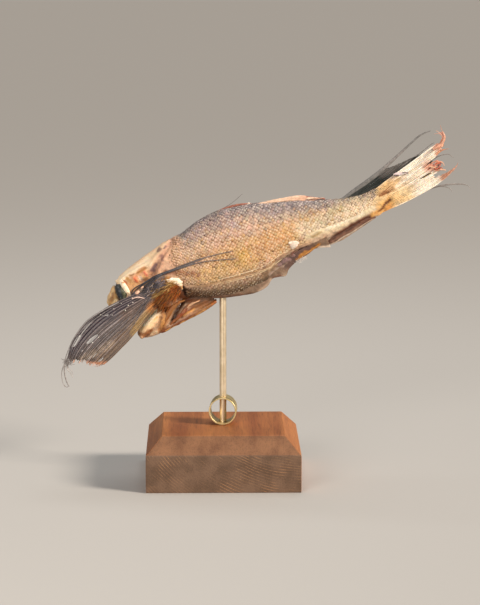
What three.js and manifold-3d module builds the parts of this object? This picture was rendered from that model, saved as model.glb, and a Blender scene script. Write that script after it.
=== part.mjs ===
// A gutted smoked fish held in the air by a brass rod, over a wooden block with bevelled top edges.
// Millimetres, +Z up. The origin is the centre of the block's underside. The head points down to -X, the
// tail up to +X, and the left flank faces -Y.
import * as THREE from "three";
import { mergeVertices } from "three/addons/utils/BufferGeometryUtils.js";
import Module from "manifold-3d";

const wasm = await Module();
wasm.setup();

// ---------------------------------------------------------------- driving sizes: the stand
const FIT_GAP = 0.3; // clearance left round a piece that passes through another
const BLOCK = { width: 110, depth: 104, height: 39, bevelRun: 11.3, bevelRise: 12.1 };
const ROD = { radius: 2.45, sides: 28, footDepth: 20, top: 148 };
const RING = { outerRadius: 10, wall: 1, width: 14, sides: 24, turn: THREE.MathUtils.degToRad(-4) };

// ---------------------------------------------------------------- driving sizes: the fish
// Points are [x, z] in the fish's middle plane.
// Cross sections from snout to tail root: the back's point, the belly's point and half the thickness.
const SECTIONS = [
  { back: [-82.8, 133.0], belly: [-83.4, 127.5], half: 1.6 },
  { back: [-79.9, 138.6], belly: [-80.4, 123.5], half: 4.2 },
  { back: [-76.3, 144.0], belly: [-74.0, 120.5], half: 6.6 },
  { back: [-70.0, 150.3], belly: [-66.0, 119.0], half: 8.5 },
  { back: [-60.0, 158.3], belly: [-54.0, 119.0], half: 11.0 },
  { back: [-50.0, 165.3], belly: [-43.0, 121.0], half: 13.0 },
  { back: [-40.0, 172.5], belly: [-34.0, 125.0], half: 14.0 },
  { back: [-30.5, 177.5], belly: [-25.0, 131.0], half: 14.5 },
  { back: [-18.0, 186.8], belly: [-9.0, 131.5], half: 15.0 },
  { back: [-3.0, 194.5], belly: [9.0, 133.5], half: 14.5 },
  { back: [14.0, 198.5], belly: [28.0, 140.5], half: 13.5 },
  { back: [32.0, 200.5], belly: [45.0, 153.0], half: 12.0 },
  { back: [49.0, 202.0], belly: [59.0, 164.0], half: 10.3 },
  { back: [65.0, 202.3], belly: [73.0, 171.0], half: 8.6 },
  { back: [79.0, 202.2], belly: [86.0, 178.5], half: 6.8 },
  { back: [91.0, 203.6], belly: [97.0, 185.0], half: 5.2 },
  { back: [102.0, 206.6], belly: [106.5, 188.6], half: 3.9 },
  { back: [110.0, 211.0], belly: [113.5, 191.5], half: 2.4 },
  { back: [116.0, 212.5], belly: [119.0, 198.5], half: 1.0 },
];
const BACK_FULLNESS = 0.14; // how much wider each section is above its middle than below
const BODY = { along: 42, around: 20 };

// The cut that gutted the fish: a slot along the belly, between shares of the body's length.
const GUT = { from: 0.4, to: 0.72, reach: 12, halfWidth: 2.6, sink: 3, along: 16, around: 8 };
// The belly wall's torn lower edge, which hangs below the body on the left.
const BELLY_WALL = {
  top: [[-8, 139], [10, 141], [30, 149], [50, 164], [74, 176]],
  edge: [
    [-8, 131.6], [4, 132.4], [20, 134.8], [27, 137.2], [32, 140.4], [35.5, 145.8], [41, 147.4],
    [45, 148], [47.5, 153], [54, 159.3], [61, 163.6], [66.5, 167.6], [77, 168.6],
  ],
  y: -3.4, lean: 2.2, thick: 1.3, columns: 26, rows: 3,
};

// The eye sits in a shallow socket. y is the distance of either centre from the middle plane, and flat is
// how thick both balls are for their width.
const EYE = { x: -72.3, z: 136.6, radius: 5.2, y: 6, socket: 6.2, socketY: 8.1, flat: 0.42 };

const mesh = (name, geometry, color, roughness, metalness = 0) => {
  const made = new THREE.Mesh(geometry, new THREE.MeshStandardMaterial({ color, roughness, metalness }));
  made.name = name;
  return made;
};

// ---------------------------------------------------------------- solids
// A closed geometry as a manifold solid, and back again.
function solidFrom(geometry) {
  const bare = new THREE.BufferGeometry();
  bare.setAttribute("position", geometry.getAttribute("position"));
  bare.setIndex(geometry.getIndex());
  const merged = mergeVertices(bare, 1e-4);
  return new wasm.Manifold(
    new wasm.Mesh({
      numProp: 3,
      vertProperties: new Float32Array(merged.getAttribute("position").array),
      triVerts: new Uint32Array(merged.getIndex().array),
    }),
  );
}

function geometryFrom(solid) {
  const made = solid.getMesh();
  const geometry = new THREE.BufferGeometry();
  geometry.setAttribute("position", new THREE.BufferAttribute(new Float32Array(made.vertProperties), 3));
  geometry.setIndex(new THREE.BufferAttribute(new Uint32Array(made.triVerts), 1));
  geometry.computeVertexNormals();
  return geometry;
}

// A closed surface from a function of t, 0 to 1 from end to end, and of the angle round it.
// Both ends are closed by a point in the middle of the end ring.
function loft(along, around, pointAt) {
  const positions = [];
  const index = [];
  const push = (p) => positions.push(p.x, p.y, p.z);
  for (let i = 0; i <= along; i++)
    for (let j = 0; j < around; j++) push(pointAt(i / along, (j / around) * 2 * Math.PI));
  for (const row of [0, along]) {
    const middle = new THREE.Vector3();
    for (let j = 0; j < around; j++) middle.add(pointAt(row / along, (j / around) * 2 * Math.PI));
    push(middle.divideScalar(around));
  }
  const at = (i, j) => i * around + (j % around);
  const [firstPole, lastPole] = [(along + 1) * around, (along + 1) * around + 1];
  for (let j = 0; j < around; j++) {
    index.push(firstPole, at(0, j + 1), at(0, j));
    for (let i = 0; i < along; i++) {
      index.push(at(i, j), at(i, j + 1), at(i + 1, j + 1));
      index.push(at(i, j), at(i + 1, j + 1), at(i + 1, j));
    }
    index.push(lastPole, at(along, j), at(along, j + 1));
  }
  return outward(positions, index);
}

// A thin sheet with the same triangles on both faces. pointAt(u, v) is its middle, halfAt(u, v) half its
// thickness, and face is the direction in which it is thick.
function sheet(columns, rows, pointAt, halfAt, face) {
  const positions = [];
  const index = [];
  for (const side of [1, -1])
    for (let i = 0; i <= columns; i++)
      for (let j = 0; j <= rows; j++) {
        const [u, v] = [i / columns, j / rows];
        const p = pointAt(u, v).addScaledVector(face, side * halfAt(u, v));
        positions.push(p.x, p.y, p.z);
      }
  const count = (columns + 1) * (rows + 1);
  const at = (i, j, back) => i * (rows + 1) + j + (back ? count : 0);
  const quad = (a, b, c, d) => index.push(a, b, c, a, c, d);
  for (let i = 0; i < columns; i++)
    for (let j = 0; j < rows; j++) {
      quad(at(i, j), at(i + 1, j), at(i + 1, j + 1), at(i, j + 1));
      const [a, b, c, d] = [at(i, j, 1), at(i + 1, j, 1), at(i + 1, j + 1, 1), at(i, j + 1, 1)];
      index.push(a, c, b, a, d, c);
    }
  for (let i = 0; i < columns; i++) {
    quad(at(i, 0), at(i, 0, 1), at(i + 1, 0, 1), at(i + 1, 0));
    quad(at(i, rows), at(i + 1, rows), at(i + 1, rows, 1), at(i, rows, 1));
  }
  for (let j = 0; j < rows; j++) {
    quad(at(0, j), at(0, j + 1), at(0, j + 1, 1), at(0, j, 1));
    quad(at(columns, j), at(columns, j, 1), at(columns, j + 1, 1), at(columns, j + 1));
  }
  return outward(positions, index);
}

// The solid of a closed surface, turned so that its faces point out.
function outward(positions, index) {
  const geometry = new THREE.BufferGeometry();
  geometry.setAttribute("position", new THREE.Float32BufferAttribute(positions, 3));
  let volume = 0;
  const p = (k) => new THREE.Vector3().fromArray(positions, 3 * k);
  for (let i = 0; i < index.length; i += 3)
    volume += p(index[i]).dot(p(index[i + 1]).cross(p(index[i + 2])));
  const facing = volume > 0 ? index : index.map((_, i) => index[i - (i % 3) + [0, 2, 1][i % 3]]);
  geometry.setIndex(facing);
  return solidFrom(geometry);
}

const union = (solids) => solids.reduce((sum, s) => sum.add(s));

// The largest body of a solid: hollows that joining has sealed are filled, and loose scraps dropped.
const largestBody = (solid) => solid.decompose().reduce((a, b) => (a.volume() > b.volume() ? a : b));

// ---------------------------------------------------------------- curves
// A smooth curve through [x, z] points at depth y, or through [x, z, y] points.
function curveThrough(points, y = 0) {
  const placed = points.map(([x, z, own]) => new THREE.Vector3(x, own ?? y, z));
  return new THREE.CatmullRomCurve3(placed, false, "catmullrom", 0.5);
}

// A smooth number along 0 to 1 through evenly spaced values.
function profile(values) {
  const curve = curveThrough(values.map((v) => [v, 0]));
  return (t) => curve.getPoint(t).x;
}

const Y_AXIS = new THREE.Vector3(0, 1, 0);

// A flattened, tapering strand or lobe along a path: wide across the path in the fish's plane, and thick
// along Y. Widths and thicknesses are half sizes, evenly spaced along the path.
function blade(points, { y = 0, wide, thick = wide, along = 6, around = 6 }) {
  const path = curveThrough(points, y);
  const [wideAt, thickAt] = [profile(wide), profile(thick)];
  return loft(along, around, (t, angle) => {
    const across = path.getTangent(t).cross(Y_AXIS).normalize();
    const lift = new THREE.Vector3().crossVectors(across, path.getTangent(t)).normalize();
    return path
      .getPoint(t)
      .addScaledVector(across, Math.cos(angle) * wideAt(t))
      .addScaledVector(lift, Math.sin(angle) * thickAt(t));
  });
}

// A fin: rays that leave a root line, pass near a line of bends and end on a line of tips. Each ray is a
// ridge, and the skin between two rays is set back.
function rayFin({ root, bend, tips, rays, rows, rootHalf, tipHalf, pleat = 0.35 }) {
  const [rootLine, bendLine, tipLine] = [root, bend, tips].map((points) => curveThrough(points));
  const pointAt = (u, v) => {
    const ray = new THREE.QuadraticBezierCurve3(
      rootLine.getPoint(u),
      bendLine.getPoint(u),
      tipLine.getPoint(u),
    );
    const isRay = Math.round(u * 2 * rays) % 2 === 0;
    return ray.getPoint(v).addScaledVector(Y_AXIS, isRay ? -pleat : pleat);
  };
  const halfAt = (_, v) => THREE.MathUtils.lerp(rootHalf, tipHalf, v);
  return sheet(2 * rays, rows, pointAt, halfAt, Y_AXIS);
}

// ---------------------------------------------------------------- the stand
function upright(radius, sides, from, to) {
  const made = new THREE.CylinderGeometry(radius, radius, to - from, sides);
  return made.rotateX(Math.PI / 2).translate(0, 0, (from + to) / 2);
}

const rodHole = (from, to) => solidFrom(upright(ROD.radius + FIT_GAP, ROD.sides, from, to));

const brassRod = () => upright(ROD.radius, ROD.sides, BLOCK.height - ROD.footDepth, ROD.top);

function woodBlock() {
  const made = new THREE.BoxGeometry(BLOCK.width, BLOCK.depth, BLOCK.height, 1, 1, 2);
  const corners = made.getAttribute("position");
  for (let i = 0; i < corners.count; i++) {
    const level = Math.round((corners.getZ(i) / BLOCK.height) * 2); // -1 foot, 0 bevel's start, 1 top
    const inset = level > 0 ? BLOCK.bevelRun : 0;
    corners.setX(i, Math.sign(corners.getX(i)) * (BLOCK.width / 2 - inset));
    corners.setY(i, Math.sign(corners.getY(i)) * (BLOCK.depth / 2 - inset));
    corners.setZ(i, [0, BLOCK.height - BLOCK.bevelRise, BLOCK.height][level + 1]);
  }
  const hole = rodHole(BLOCK.height - ROD.footDepth - FIT_GAP, BLOCK.height + 1);
  return geometryFrom(solidFrom(made).subtract(hole));
}

function brassRing() {
  const outline = new THREE.Shape().absarc(0, 0, RING.outerRadius, 0, 2 * Math.PI);
  outline.holes.push(new THREE.Path().absarc(0, 0, RING.outerRadius - RING.wall, 0, 2 * Math.PI, true));
  const middle = BLOCK.height + FIT_GAP + RING.outerRadius;
  const band = new THREE.ExtrudeGeometry(outline, {
    depth: RING.width,
    bevelEnabled: false,
    curveSegments: RING.sides,
  });
  band.translate(0, 0, -RING.width / 2).rotateX(Math.PI / 2).rotateZ(RING.turn).translate(0, 0, middle);
  return geometryFrom(solidFrom(band).subtract(rodHole(BLOCK.height, middle + 2 * RING.outerRadius)));
}

// ---------------------------------------------------------------- the fish
const backLine = curveThrough(SECTIONS.map((s) => s.back));
const bellyLine = curveThrough(SECTIONS.map((s) => s.belly));
const halfThickness = profile(SECTIONS.map((s) => s.half));

// A point of the skin: t runs from snout to tail, and the angle from the back down the left flank.
function skin(t, angle) {
  const [back, belly] = [backLine.getPoint(t), bellyLine.getPoint(t)];
  const middle = back.clone().add(belly).multiplyScalar(0.5);
  const up = back.clone().sub(middle);
  const width = halfThickness(t) * Math.sin(angle) * (1 + BACK_FULLNESS * Math.cos(angle));
  return middle.addScaledVector(up, Math.cos(angle)).addScaledVector(Y_AXIS, -width);
}

// How far the flank stands out from the middle plane at a point [x, z] of the side view.
function flankAt(x, z) {
  const point = new THREE.Vector3(x, 0, z);
  let [from, to] = [0, 1];
  for (let step = 0; step < 24; step++) {
    const t = (from + to) / 2;
    const line = backLine.getPoint(t).sub(bellyLine.getPoint(t));
    const ahead = line.cross(point.clone().sub(bellyLine.getPoint(t))).y > 0;
    [from, to] = ahead ? [t, to] : [from, t];
  }
  const [back, belly] = [backLine.getPoint(from), bellyLine.getPoint(from)];
  const height = THREE.MathUtils.clamp((2 * point.distanceTo(belly)) / back.distanceTo(belly) - 1, -1, 1);
  return halfThickness(from) * Math.sqrt(1 - height * height) * (1 + BACK_FULLNESS * height);
}

// Points of a path that runs over a flank. side is -1 on the left flank and 1 on the right, and proud is
// how far the path stands out from the skin.
const overFlank = (points, side, proud) =>
  points.map(([x, z]) => [x, z, side * (flankAt(x, z) + proud)]);

// The slot that gutting left along the belly, open at its lower side.
function gutSlot() {
  return loft(GUT.along, GUT.around, (t, angle) => {
    const share = THREE.MathUtils.lerp(GUT.from, GUT.to, t);
    const belly = bellyLine.getPoint(share);
    const inward = backLine.getPoint(share).sub(belly).normalize();
    const size = 0.3 + 0.7 * Math.sin(Math.PI * t);
    return belly
      .addScaledVector(inward, -GUT.sink + GUT.reach * size * Math.cos(angle))
      .addScaledVector(Y_AXIS, GUT.halfWidth * size * Math.sin(angle));
  });
}

function bellyWall() {
  const [top, edge] = [curveThrough(BELLY_WALL.top), curveThrough(BELLY_WALL.edge)];
  const pointAt = (u, v) =>
    top
      .getPoint(u)
      .lerp(edge.getPoint(u), v)
      .addScaledVector(Y_AXIS, BELLY_WALL.y - BELLY_WALL.lean * (1 - v));
  return sheet(BELLY_WALL.columns, BELLY_WALL.rows, pointAt, () => BELLY_WALL.thick / 2, Y_AXIS);
}

function flatBall(radius, x, y, z) {
  return solidFrom(new THREE.SphereGeometry(radius, 14, 10).scale(1, EYE.flat, 1).translate(x, y, z));
}

// Jaw, gill covers and throat. side is -1 on the left flank and 1 on the right.
function headPieces(side) {
  const over = (points, proud, sizes) => blade(overFlank(points, side, proud), sizes);
  return [
    // the bony plate from the snout over the cheek to the nape
    over([[-73, 141.5], [-62, 147.5], [-51, 154.5], [-42, 161.5], [-35, 169]], -1, {
      wide: [2, 4.4, 5.6, 5, 1.6], thick: [1.5, 2.2, 2.8, 2.6, 1.2],
    }),
    // the rear edge of the gill cover
    over([[-37, 169], [-43, 160], [-46, 150], [-43, 141]], 0, {
      wide: [1.2, 2.6, 3, 1.6], thick: [0.8, 1.5, 1.7, 1.2],
    }),
    // the muscle and the bone at the root of the breast fin
    over([[-48, 125], [-43, 131], [-38, 137.5], [-31, 143]], -1, {
      wide: [3, 6.5, 6, 2.4], thick: [2.4, 4.2, 4, 1.8],
    }),
    over([[-40, 141], [-35, 143.6], [-29.5, 142]], 1, {
      wide: [1.2, 2.5, 1], thick: [0.8, 1.7, 0.8], along: 5,
    }),
    // throat strips, parted by gaps
    blade([[-60, 104.5], [-54, 111], [-47.5, 117.5], [-42, 124]], {
      y: side * 6.6, wide: [2.2, 4.6, 4.8, 2], thick: [2, 3.2, 3.4, 2],
    }),
    blade([[-39.5, 110.5], [-36.5, 118], [-32.5, 125], [-27, 131]], {
      y: side * 7, wide: [1.2, 2.2, 2, 0.8], thick: [1, 1.9, 1.8, 1],
    }),
    blade([[-45, 108], [-30, 116.4], [-15, 124], [-3, 130.6]], {
      y: side * 4.4, wide: [2, 2.3, 2.1, 1.1], thick: [2, 2.2, 2, 1.2],
    }),
  ];
}

// What lies in the middle plane of the head: the lower jaw and the throat behind the strips.
const lowerHead = () => [
  blade([[-61.5, 105.2], [-56, 107.4], [-46, 113], [-36, 119]], {
    wide: [1.6, 4.6, 6.6, 6], thick: [3.5, 6.5, 8, 7.5], around: 10,
  }),
  blade([[-40, 117.5], [-28, 123.4], [-16, 128.6], [-6, 132]], {
    wide: [5, 6.4, 5, 2.2], thick: [7, 7, 5.4, 3], around: 10,
  }),
];

// The folded-down back fin: thin pink strips that lie along the ridge of the back.
const backFin = () => [
  blade([[-5, 193.6], [4, 196.8], [12, 198.6], [20, 199.4]], {
    y: -0.8, wide: [0.4, 0.9, 1, 0.5], thick: [0.5, 1, 1, 0.5],
  }),
  blade([[21, 198.6], [36, 201.2], [50, 203], [57, 203.4], [66, 202.6]], {
    y: -1.2, wide: [0.5, 1.2, 1.9, 2, 0.6], thick: [0.6, 1.3, 1.5, 1.5, 0.7],
  }),
];

// The fin under the tail stem, laid back against it.
const underFin = () =>
  blade([[71, 169.4], [82, 174.2], [94, 181.4], [109, 189.6]], {
    y: -0.6, wide: [1, 2.4, 2.2, 0.8], thick: [0.8, 1, 1, 0.8],
  });

// The tail fin: an upper and a lower lobe, and torn middle rays between them.
const tailFin = () => [
  rayFin({
    root: [[108, 210.4], [109, 206], [110.4, 199], [111.4, 191.6]],
    bend: [[135, 226.4], [136, 221], [128, 213.5], [131, 210], [137, 208.4], [158, 210.8]],
    tips: [
      [155.4, 247], [157.4, 240.6], [152, 233], [145.4, 228.6], [152, 229.4], [160, 226],
      [150.6, 219.8], [158, 220.6], [167.2, 226.4],
    ],
    rays: 17, rows: 6, rootHalf: 0.9, tipHalf: 0.4,
  }),
  // the curled tips
  blade([[154.6, 240.4], [157.2, 245], [156.6, 249.4], [153.8, 254]], {
    wide: [1.8, 1.3, 0.9, 0.3], thick: [0.8, 0.7, 0.6, 0.3],
  }),
  blade([[164, 222.4], [166.6, 225.6], [167.9, 228.6]], {
    wide: [1.4, 0.9, 0.3], thick: [0.7, 0.6, 0.3],
  }),
  blade([[152, 234], [156.5, 237.4], [161, 238.6]], {
    wide: [1.2, 0.7, 0.3], thick: [0.6, 0.5, 0.3],
  }),
];

// The dark fin that stands on the back before the tail and leans over behind it.
const REAR_Y = 4.2;
const rearFin = () => [
  rayFin({
    root: [[84, 201.5, 0.5], [92, 202, 1.4], [100, 203.5, 1.8]],
    bend: [[103, 212, REAR_Y], [116, 215, REAR_Y], [122, 213, REAR_Y], [128, 208, REAR_Y]],
    tips: [
      [117, 222.6, REAR_Y], [127, 225.2, REAR_Y], [140, 229.6, REAR_Y], [150, 233, REAR_Y],
      [150, 222, REAR_Y], [150, 211, REAR_Y],
    ],
    rays: 7, rows: 4, rootHalf: 0.8, tipHalf: 0.4, pleat: 0.25,
  }),
  blade(
    [
      [84, 201.4, 0.4], [94, 208.2, 2.2], [104, 215, 3.4], [114, 223, REAR_Y], [124, 232.2, REAR_Y],
      [134, 241.6, REAR_Y], [141, 247.8, REAR_Y], [148.5, 251.2, REAR_Y],
    ],
    {
      wide: [0.9, 1.5, 1.7, 1.4, 1, 0.7, 0.6, 0.35],
      thick: [0.8, 1, 1, 0.9, 0.7, 0.6, 0.5, 0.35],
      along: 14,
    },
  ),
  blade([[147, 228.2], [154, 232.6], [161, 234.2], [165, 231.6]], {
    y: REAR_Y, wide: [0.6, 0.5, 0.45, 0.35], along: 8,
  }),
  blade([[147, 209], [158, 211.8], [169, 212.6], [175, 211.8], [177.4, 209.6]], {
    y: REAR_Y, wide: [0.8, 0.7, 0.6, 0.5, 0.4], along: 10,
  }),
  blade([[149, 210.6], [157, 211], [162, 210], [164.6, 207.2]], {
    y: REAR_Y, wide: [0.6, 0.5, 0.45, 0.35], along: 8,
  }),
];

// The dark left breast fin, which bends forward past the head. Its tears are cut out of it.
const TEARS = [
  [[-107, 99], [-104.6, 103], [-101, 107.4]],
  [[-96.6, 103], [-93.4, 105.6], [-89.6, 108.6]],
  [[-97.4, 91], [-93, 94], [-88.6, 97]],
];
const FAN_Y = { bend: -23, tip: -19 };

function breastFan() {
  const fan = rayFin({
    root: overFlank([[-47, 133], [-44, 130], [-41, 127]], -1, 0.6),
    bend: [[-99, 129, FAN_Y.bend], [-85, 114.5, FAN_Y.bend], [-66, 102, FAN_Y.bend + 2]],
    tips: [
      [-111.6, 88.6, FAN_Y.tip], [-108, 87.4, FAN_Y.tip], [-101, 88.6, FAN_Y.tip],
      [-94, 87, FAN_Y.tip], [-86.4, 86.6, FAN_Y.tip],
    ],
    rays: 10, rows: 6, rootHalf: 1, tipHalf: 0.45, pleat: 0.4,
  });
  const tears = TEARS.map((points) =>
    blade(points, { y: FAN_Y.tip - 1.5, wide: [0.5, 1.3, 0.5], thick: [6, 6, 6], along: 3, around: 4 }),
  );
  const hair = { wide: [0.5, 0.45, 0.4, 0.3], around: 4 };
  return [
    tears.reduce((left, tear) => left.subtract(tear), fan),
    blade([[-109.4, 90], [-113.4, 87.4], [-115.2, 78], [-113.8, 70]], { y: FAN_Y.tip, ...hair }),
    blade([[-109, 90], [-112, 84], [-111.4, 76], [-109, 69.8]], { y: FAN_Y.tip, ...hair }),
    blade([[-108, 90], [-110.4, 84.4], [-108.8, 80.4], [-106.6, 76.8]], { y: FAN_Y.tip, ...hair }),
    // the leading rays, split off from the skin
    blade([[-80, 127.4, -20.8], [-97, 118, -20.6], [-108.4, 104, -19.8], [-112.6, 88, FAN_Y.tip]], {
      wide: [0.9, 0.7, 0.6, 0.6], along: 8, around: 4,
    }),
    // the dark strand that runs back from the fin's root over the flank
    blade(
      overFlank(
        [[-65, 136], [-58, 142.6], [-50, 147.6], [-40, 152.4], [-25, 157], [-8, 160.2], [7, 161.6]],
        -1,
        0.1,
      ),
      { wide: [0.6, 1.1, 1.2, 0.9, 0.6, 0.5, 0.35], along: 12 },
    ),
  ];
}

// The right breast fin lies folded back along its flank.
const foldedFan = () =>
  rayFin({
    root: overFlank([[-42, 138], [-40, 134], [-38, 130]], 1, 0.4),
    bend: overFlank([[-16, 153], [-14, 146], [-14, 139]], 1, 0.6),
    tips: overFlank([[12, 167], [20, 161], [18, 154], [8, 147]], 1, -0.2),
    rays: 6, rows: 5, rootHalf: 1.8, tipHalf: 1.5, pleat: 0.25,
  });

// A small stub of a belly fin on each side of the gutting cut.
const bellyFinStub = (side) =>
  blade(overFlank([[44, 171.5], [48, 169.4], [49.5, 166]], side, -0.2), {
    wide: [1, 2.4, 1.2], thick: [0.8, 1, 0.6], along: 5,
  });

function fish() {
  const body = loft(BODY.along, BODY.around, skin).subtract(gutSlot());
  const socketed = [-1, 1].reduce(
    (left, side) => left.subtract(flatBall(EYE.socket, EYE.x, side * EYE.socketY, EYE.z)),
    body,
  );
  const whole = union([
    socketed,
    ...[-1, 1].map((side) => flatBall(EYE.radius, EYE.x, side * EYE.y, EYE.z)),
    bellyWall(),
    ...headPieces(-1),
    ...headPieces(1),
    ...lowerHead(),
    ...backFin(),
    underFin(),
    ...tailFin(),
    ...rearFin(),
    ...breastFan(),
    foldedFan(),
    bellyFinStub(-1),
    bellyFinStub(1),
  ]);
  return geometryFrom(largestBody(whole.subtract(rodHole(BLOCK.height, ROD.top + FIT_GAP))));
}

const part = new THREE.Group();
part.add(mesh("wood_block", woodBlock(), 0x9c6a48, 0.6));
part.add(mesh("brass_rod", brassRod(), 0xc9a96a, 0.3, 1));
part.add(mesh("brass_ring", brassRing(), 0xb9a060, 0.35, 1));
part.add(mesh("smoked_fish", fish(), 0xd8ae80, 0.55));

export default part;
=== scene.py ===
"""A gutted, smoked and dried fish on its display stand: a brass rod and ring over a bevelled wooden block.

Everything is in metres in the frame of the solids. Points of the fish are written in millimetres, as
(x, z) in its middle plane or (x, z, y), and `MM` turns them to metres when a mesh is made.
The left flank faces -Y.
"""

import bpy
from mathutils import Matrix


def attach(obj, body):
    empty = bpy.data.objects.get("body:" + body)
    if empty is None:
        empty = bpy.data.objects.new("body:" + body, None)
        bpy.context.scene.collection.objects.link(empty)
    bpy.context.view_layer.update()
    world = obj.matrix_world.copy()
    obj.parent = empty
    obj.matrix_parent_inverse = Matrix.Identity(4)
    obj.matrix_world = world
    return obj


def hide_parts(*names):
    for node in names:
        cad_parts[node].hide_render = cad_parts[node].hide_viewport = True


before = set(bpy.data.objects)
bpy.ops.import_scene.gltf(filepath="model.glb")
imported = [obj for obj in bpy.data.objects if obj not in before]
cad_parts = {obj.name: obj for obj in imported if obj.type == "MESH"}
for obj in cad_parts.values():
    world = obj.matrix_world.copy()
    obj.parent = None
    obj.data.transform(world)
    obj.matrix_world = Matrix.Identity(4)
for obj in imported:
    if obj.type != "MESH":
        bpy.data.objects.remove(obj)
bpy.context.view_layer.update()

import math

import bmesh
import bpy
import numpy as np
from mathutils import Matrix, Vector

MM = 0.001
SEED = 7

# ---------------------------------------------------------------- sizes in mm, as in the solids
FIT_GAP = 0.3
BLOCK = {"width": 110, "depth": 104, "height": 39, "bevel_run": 11.3, "bevel_rise": 12.1, "edge": 0.5}
ROD = {"radius": 2.45, "foot_depth": 20, "top": 148}
RING = {"radius": 10, "wall": 1, "width": 14, "turn": math.radians(-4)}

# Cross sections from snout to tail root: back x, z, belly x, z, half the thickness.
SECTIONS = np.array([
    (-82.8, 133.0, -83.4, 127.5, 1.6), (-79.9, 138.6, -80.4, 123.5, 4.2),
    (-76.3, 144.0, -74.0, 120.5, 6.6), (-70.0, 150.3, -66.0, 119.0, 8.5),
    (-60.0, 158.3, -54.0, 119.0, 11.0), (-50.0, 165.3, -43.0, 121.0, 13.0),
    (-40.0, 172.5, -34.0, 125.0, 14.0), (-30.5, 177.5, -25.0, 131.0, 14.5),
    (-18.0, 186.8, -9.0, 131.5, 15.0), (-3.0, 194.5, 9.0, 133.5, 14.5),
    (14.0, 198.5, 28.0, 140.5, 13.5), (32.0, 200.5, 45.0, 153.0, 12.0),
    (49.0, 202.0, 59.0, 164.0, 10.3), (65.0, 202.3, 73.0, 171.0, 8.6),
    (79.0, 202.2, 86.0, 178.5, 6.8), (91.0, 203.6, 97.0, 185.0, 5.2),
    (102.0, 206.6, 106.5, 188.6, 3.9), (110.0, 211.0, 113.5, 191.5, 2.4),
    (116.0, 212.5, 119.0, 198.5, 1.0),
])
BACK_FULLNESS = 0.14
GUT = {"from": 0.4, "to": 0.72, "reach": 12, "half_width": 2.6, "sink": 3}
# The dried eye is an upright oval, sunk in its socket, with its top towards the snout.
EYE = {"x": -72.6, "z": 136.4, "y": 5.7, "radii": (3.9, 2.0, 6.5), "tilt": 24,
       "socket": (4.6, 2.8, 7.3), "socket_y": 8.4}
# How far the rear fin and the breast fin stand out from the middle plane.
REAR_Y = 4.2
FAN_BEND_Y = -23
FAN_TIP_Y = -19
# The two flanks, and which way each lies along Y.
HANDS = (("left", -1), ("right", 1))
# How many loose hairs each place has.
HAIRS = {"muscle": 520, "flank": 300, "fan_knot": 60, "belly": 48, "tail": 20}
# Edges of the brass that turn more than this stay crisp.
SHARP_EDGE = math.radians(30)
# The paint is laid out as seen from 9.5 degrees above, where a point of the flank lies lower.
LEAN = 0.167


# ---------------------------------------------------------------- camera, light and floor
def place_camera(target, distance, pitch, yaw, lens):
    """A camera that looks at target from distance, turned down by pitch and sideways by yaw, in degrees."""
    pitch, yaw = math.radians(pitch), math.radians(yaw)
    ahead = Vector((-math.sin(yaw) * math.cos(pitch), math.cos(yaw) * math.cos(pitch), -math.sin(pitch)))
    camera = bpy.data.objects.new("camera", bpy.data.cameras.new("camera"))
    camera.data.lens = lens
    camera.data.sensor_width = 36
    camera.location = Vector(target) - ahead * distance
    camera.rotation_euler = ahead.to_track_quat("-Z", "Y").to_euler()
    bpy.context.collection.objects.link(camera)
    bpy.context.scene.camera = camera


place_camera(target=(0.0123, 0, 0.1278), distance=1.7, pitch=9.47, yaw=-0.91, lens=140.6)


def srgb(colour):
    """An sRGB colour such as "#c08040" as linear red, green, blue and alpha."""
    parts = [int(colour[i : i + 2], 16) / 255 for i in (1, 3, 5)]
    return tuple(c / 12.92 if c <= 0.04045 else ((c + 0.055) / 1.055) ** 2.4 for c in parts) + (1.0,)


def hue(colour):
    """The same as an array of red, green and blue, for tints."""
    return np.array(srgb(colour)[:3])


def new_light(name, kind, at, towards, power, colour):
    """A light aimed from one point towards another. The caller sets its size, or its angle for a sun."""
    light = bpy.data.objects.new(name, bpy.data.lights.new(name, kind))
    light.data.energy = power
    light.data.color = srgb(colour)[:3]
    light.location = at
    light.rotation_euler = (Vector(towards) - Vector(at)).to_track_quat("-Z", "Y").to_euler()
    bpy.context.collection.objects.link(light)
    return light.data


def light_studio():
    """A far, broad key from the right, which the scales catch, a weak fill from the left, and a pale room."""
    key = new_light("key", "SUN", (2.0, -0.9, 1.36), (0.03, 0, 0.15), 4.1, "#fff3e6")
    key.angle = 0.26
    fill = new_light("fill", "AREA", (-0.6, -1.25, 0.55), (0, 0, 0.13), 11, "#fff8f0")
    fill.size = 0.6
    top = new_light("top", "AREA", (0.05, 0.3, 1.2), (0, 0, 0.15), 5, "#ffffff")
    top.size = 0.6
    world = bpy.data.worlds.new("studio")
    world.use_nodes = True
    background = world.node_tree.nodes["Background"]
    background.inputs["Color"].default_value = srgb("#e9ebee")
    background.inputs["Strength"].default_value = 0.18
    bpy.context.scene.world = world
    bpy.context.scene.view_settings.view_transform = "Standard"


light_studio()


# ---------------------------------------------------------------- materials
SMOOTH = {"interpolation_type": "SMOOTHSTEP"}
COLOURS = {"data_type": "RGBA"}


def wire(tree, node, inputs):
    """Sets a node's inputs. Each is a number, a colour, a socket, or a node that stands for its output."""
    for name, value in inputs.items():
        if isinstance(value, bpy.types.Node):
            value = next(output for output in value.outputs if output.enabled)
        if isinstance(value, bpy.types.NodeSocket):
            tree.links.new(value, node.inputs[name])
        else:
            node.inputs[name].default_value = value


def add(tree, kind, settings=None, inputs=None):
    """Adds a node with its settings and its inputs."""
    made = tree.nodes.new(kind)
    for name, value in (settings or {}).items():
        setattr(made, name, value)
    wire(tree, made, inputs or {})
    return made


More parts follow.
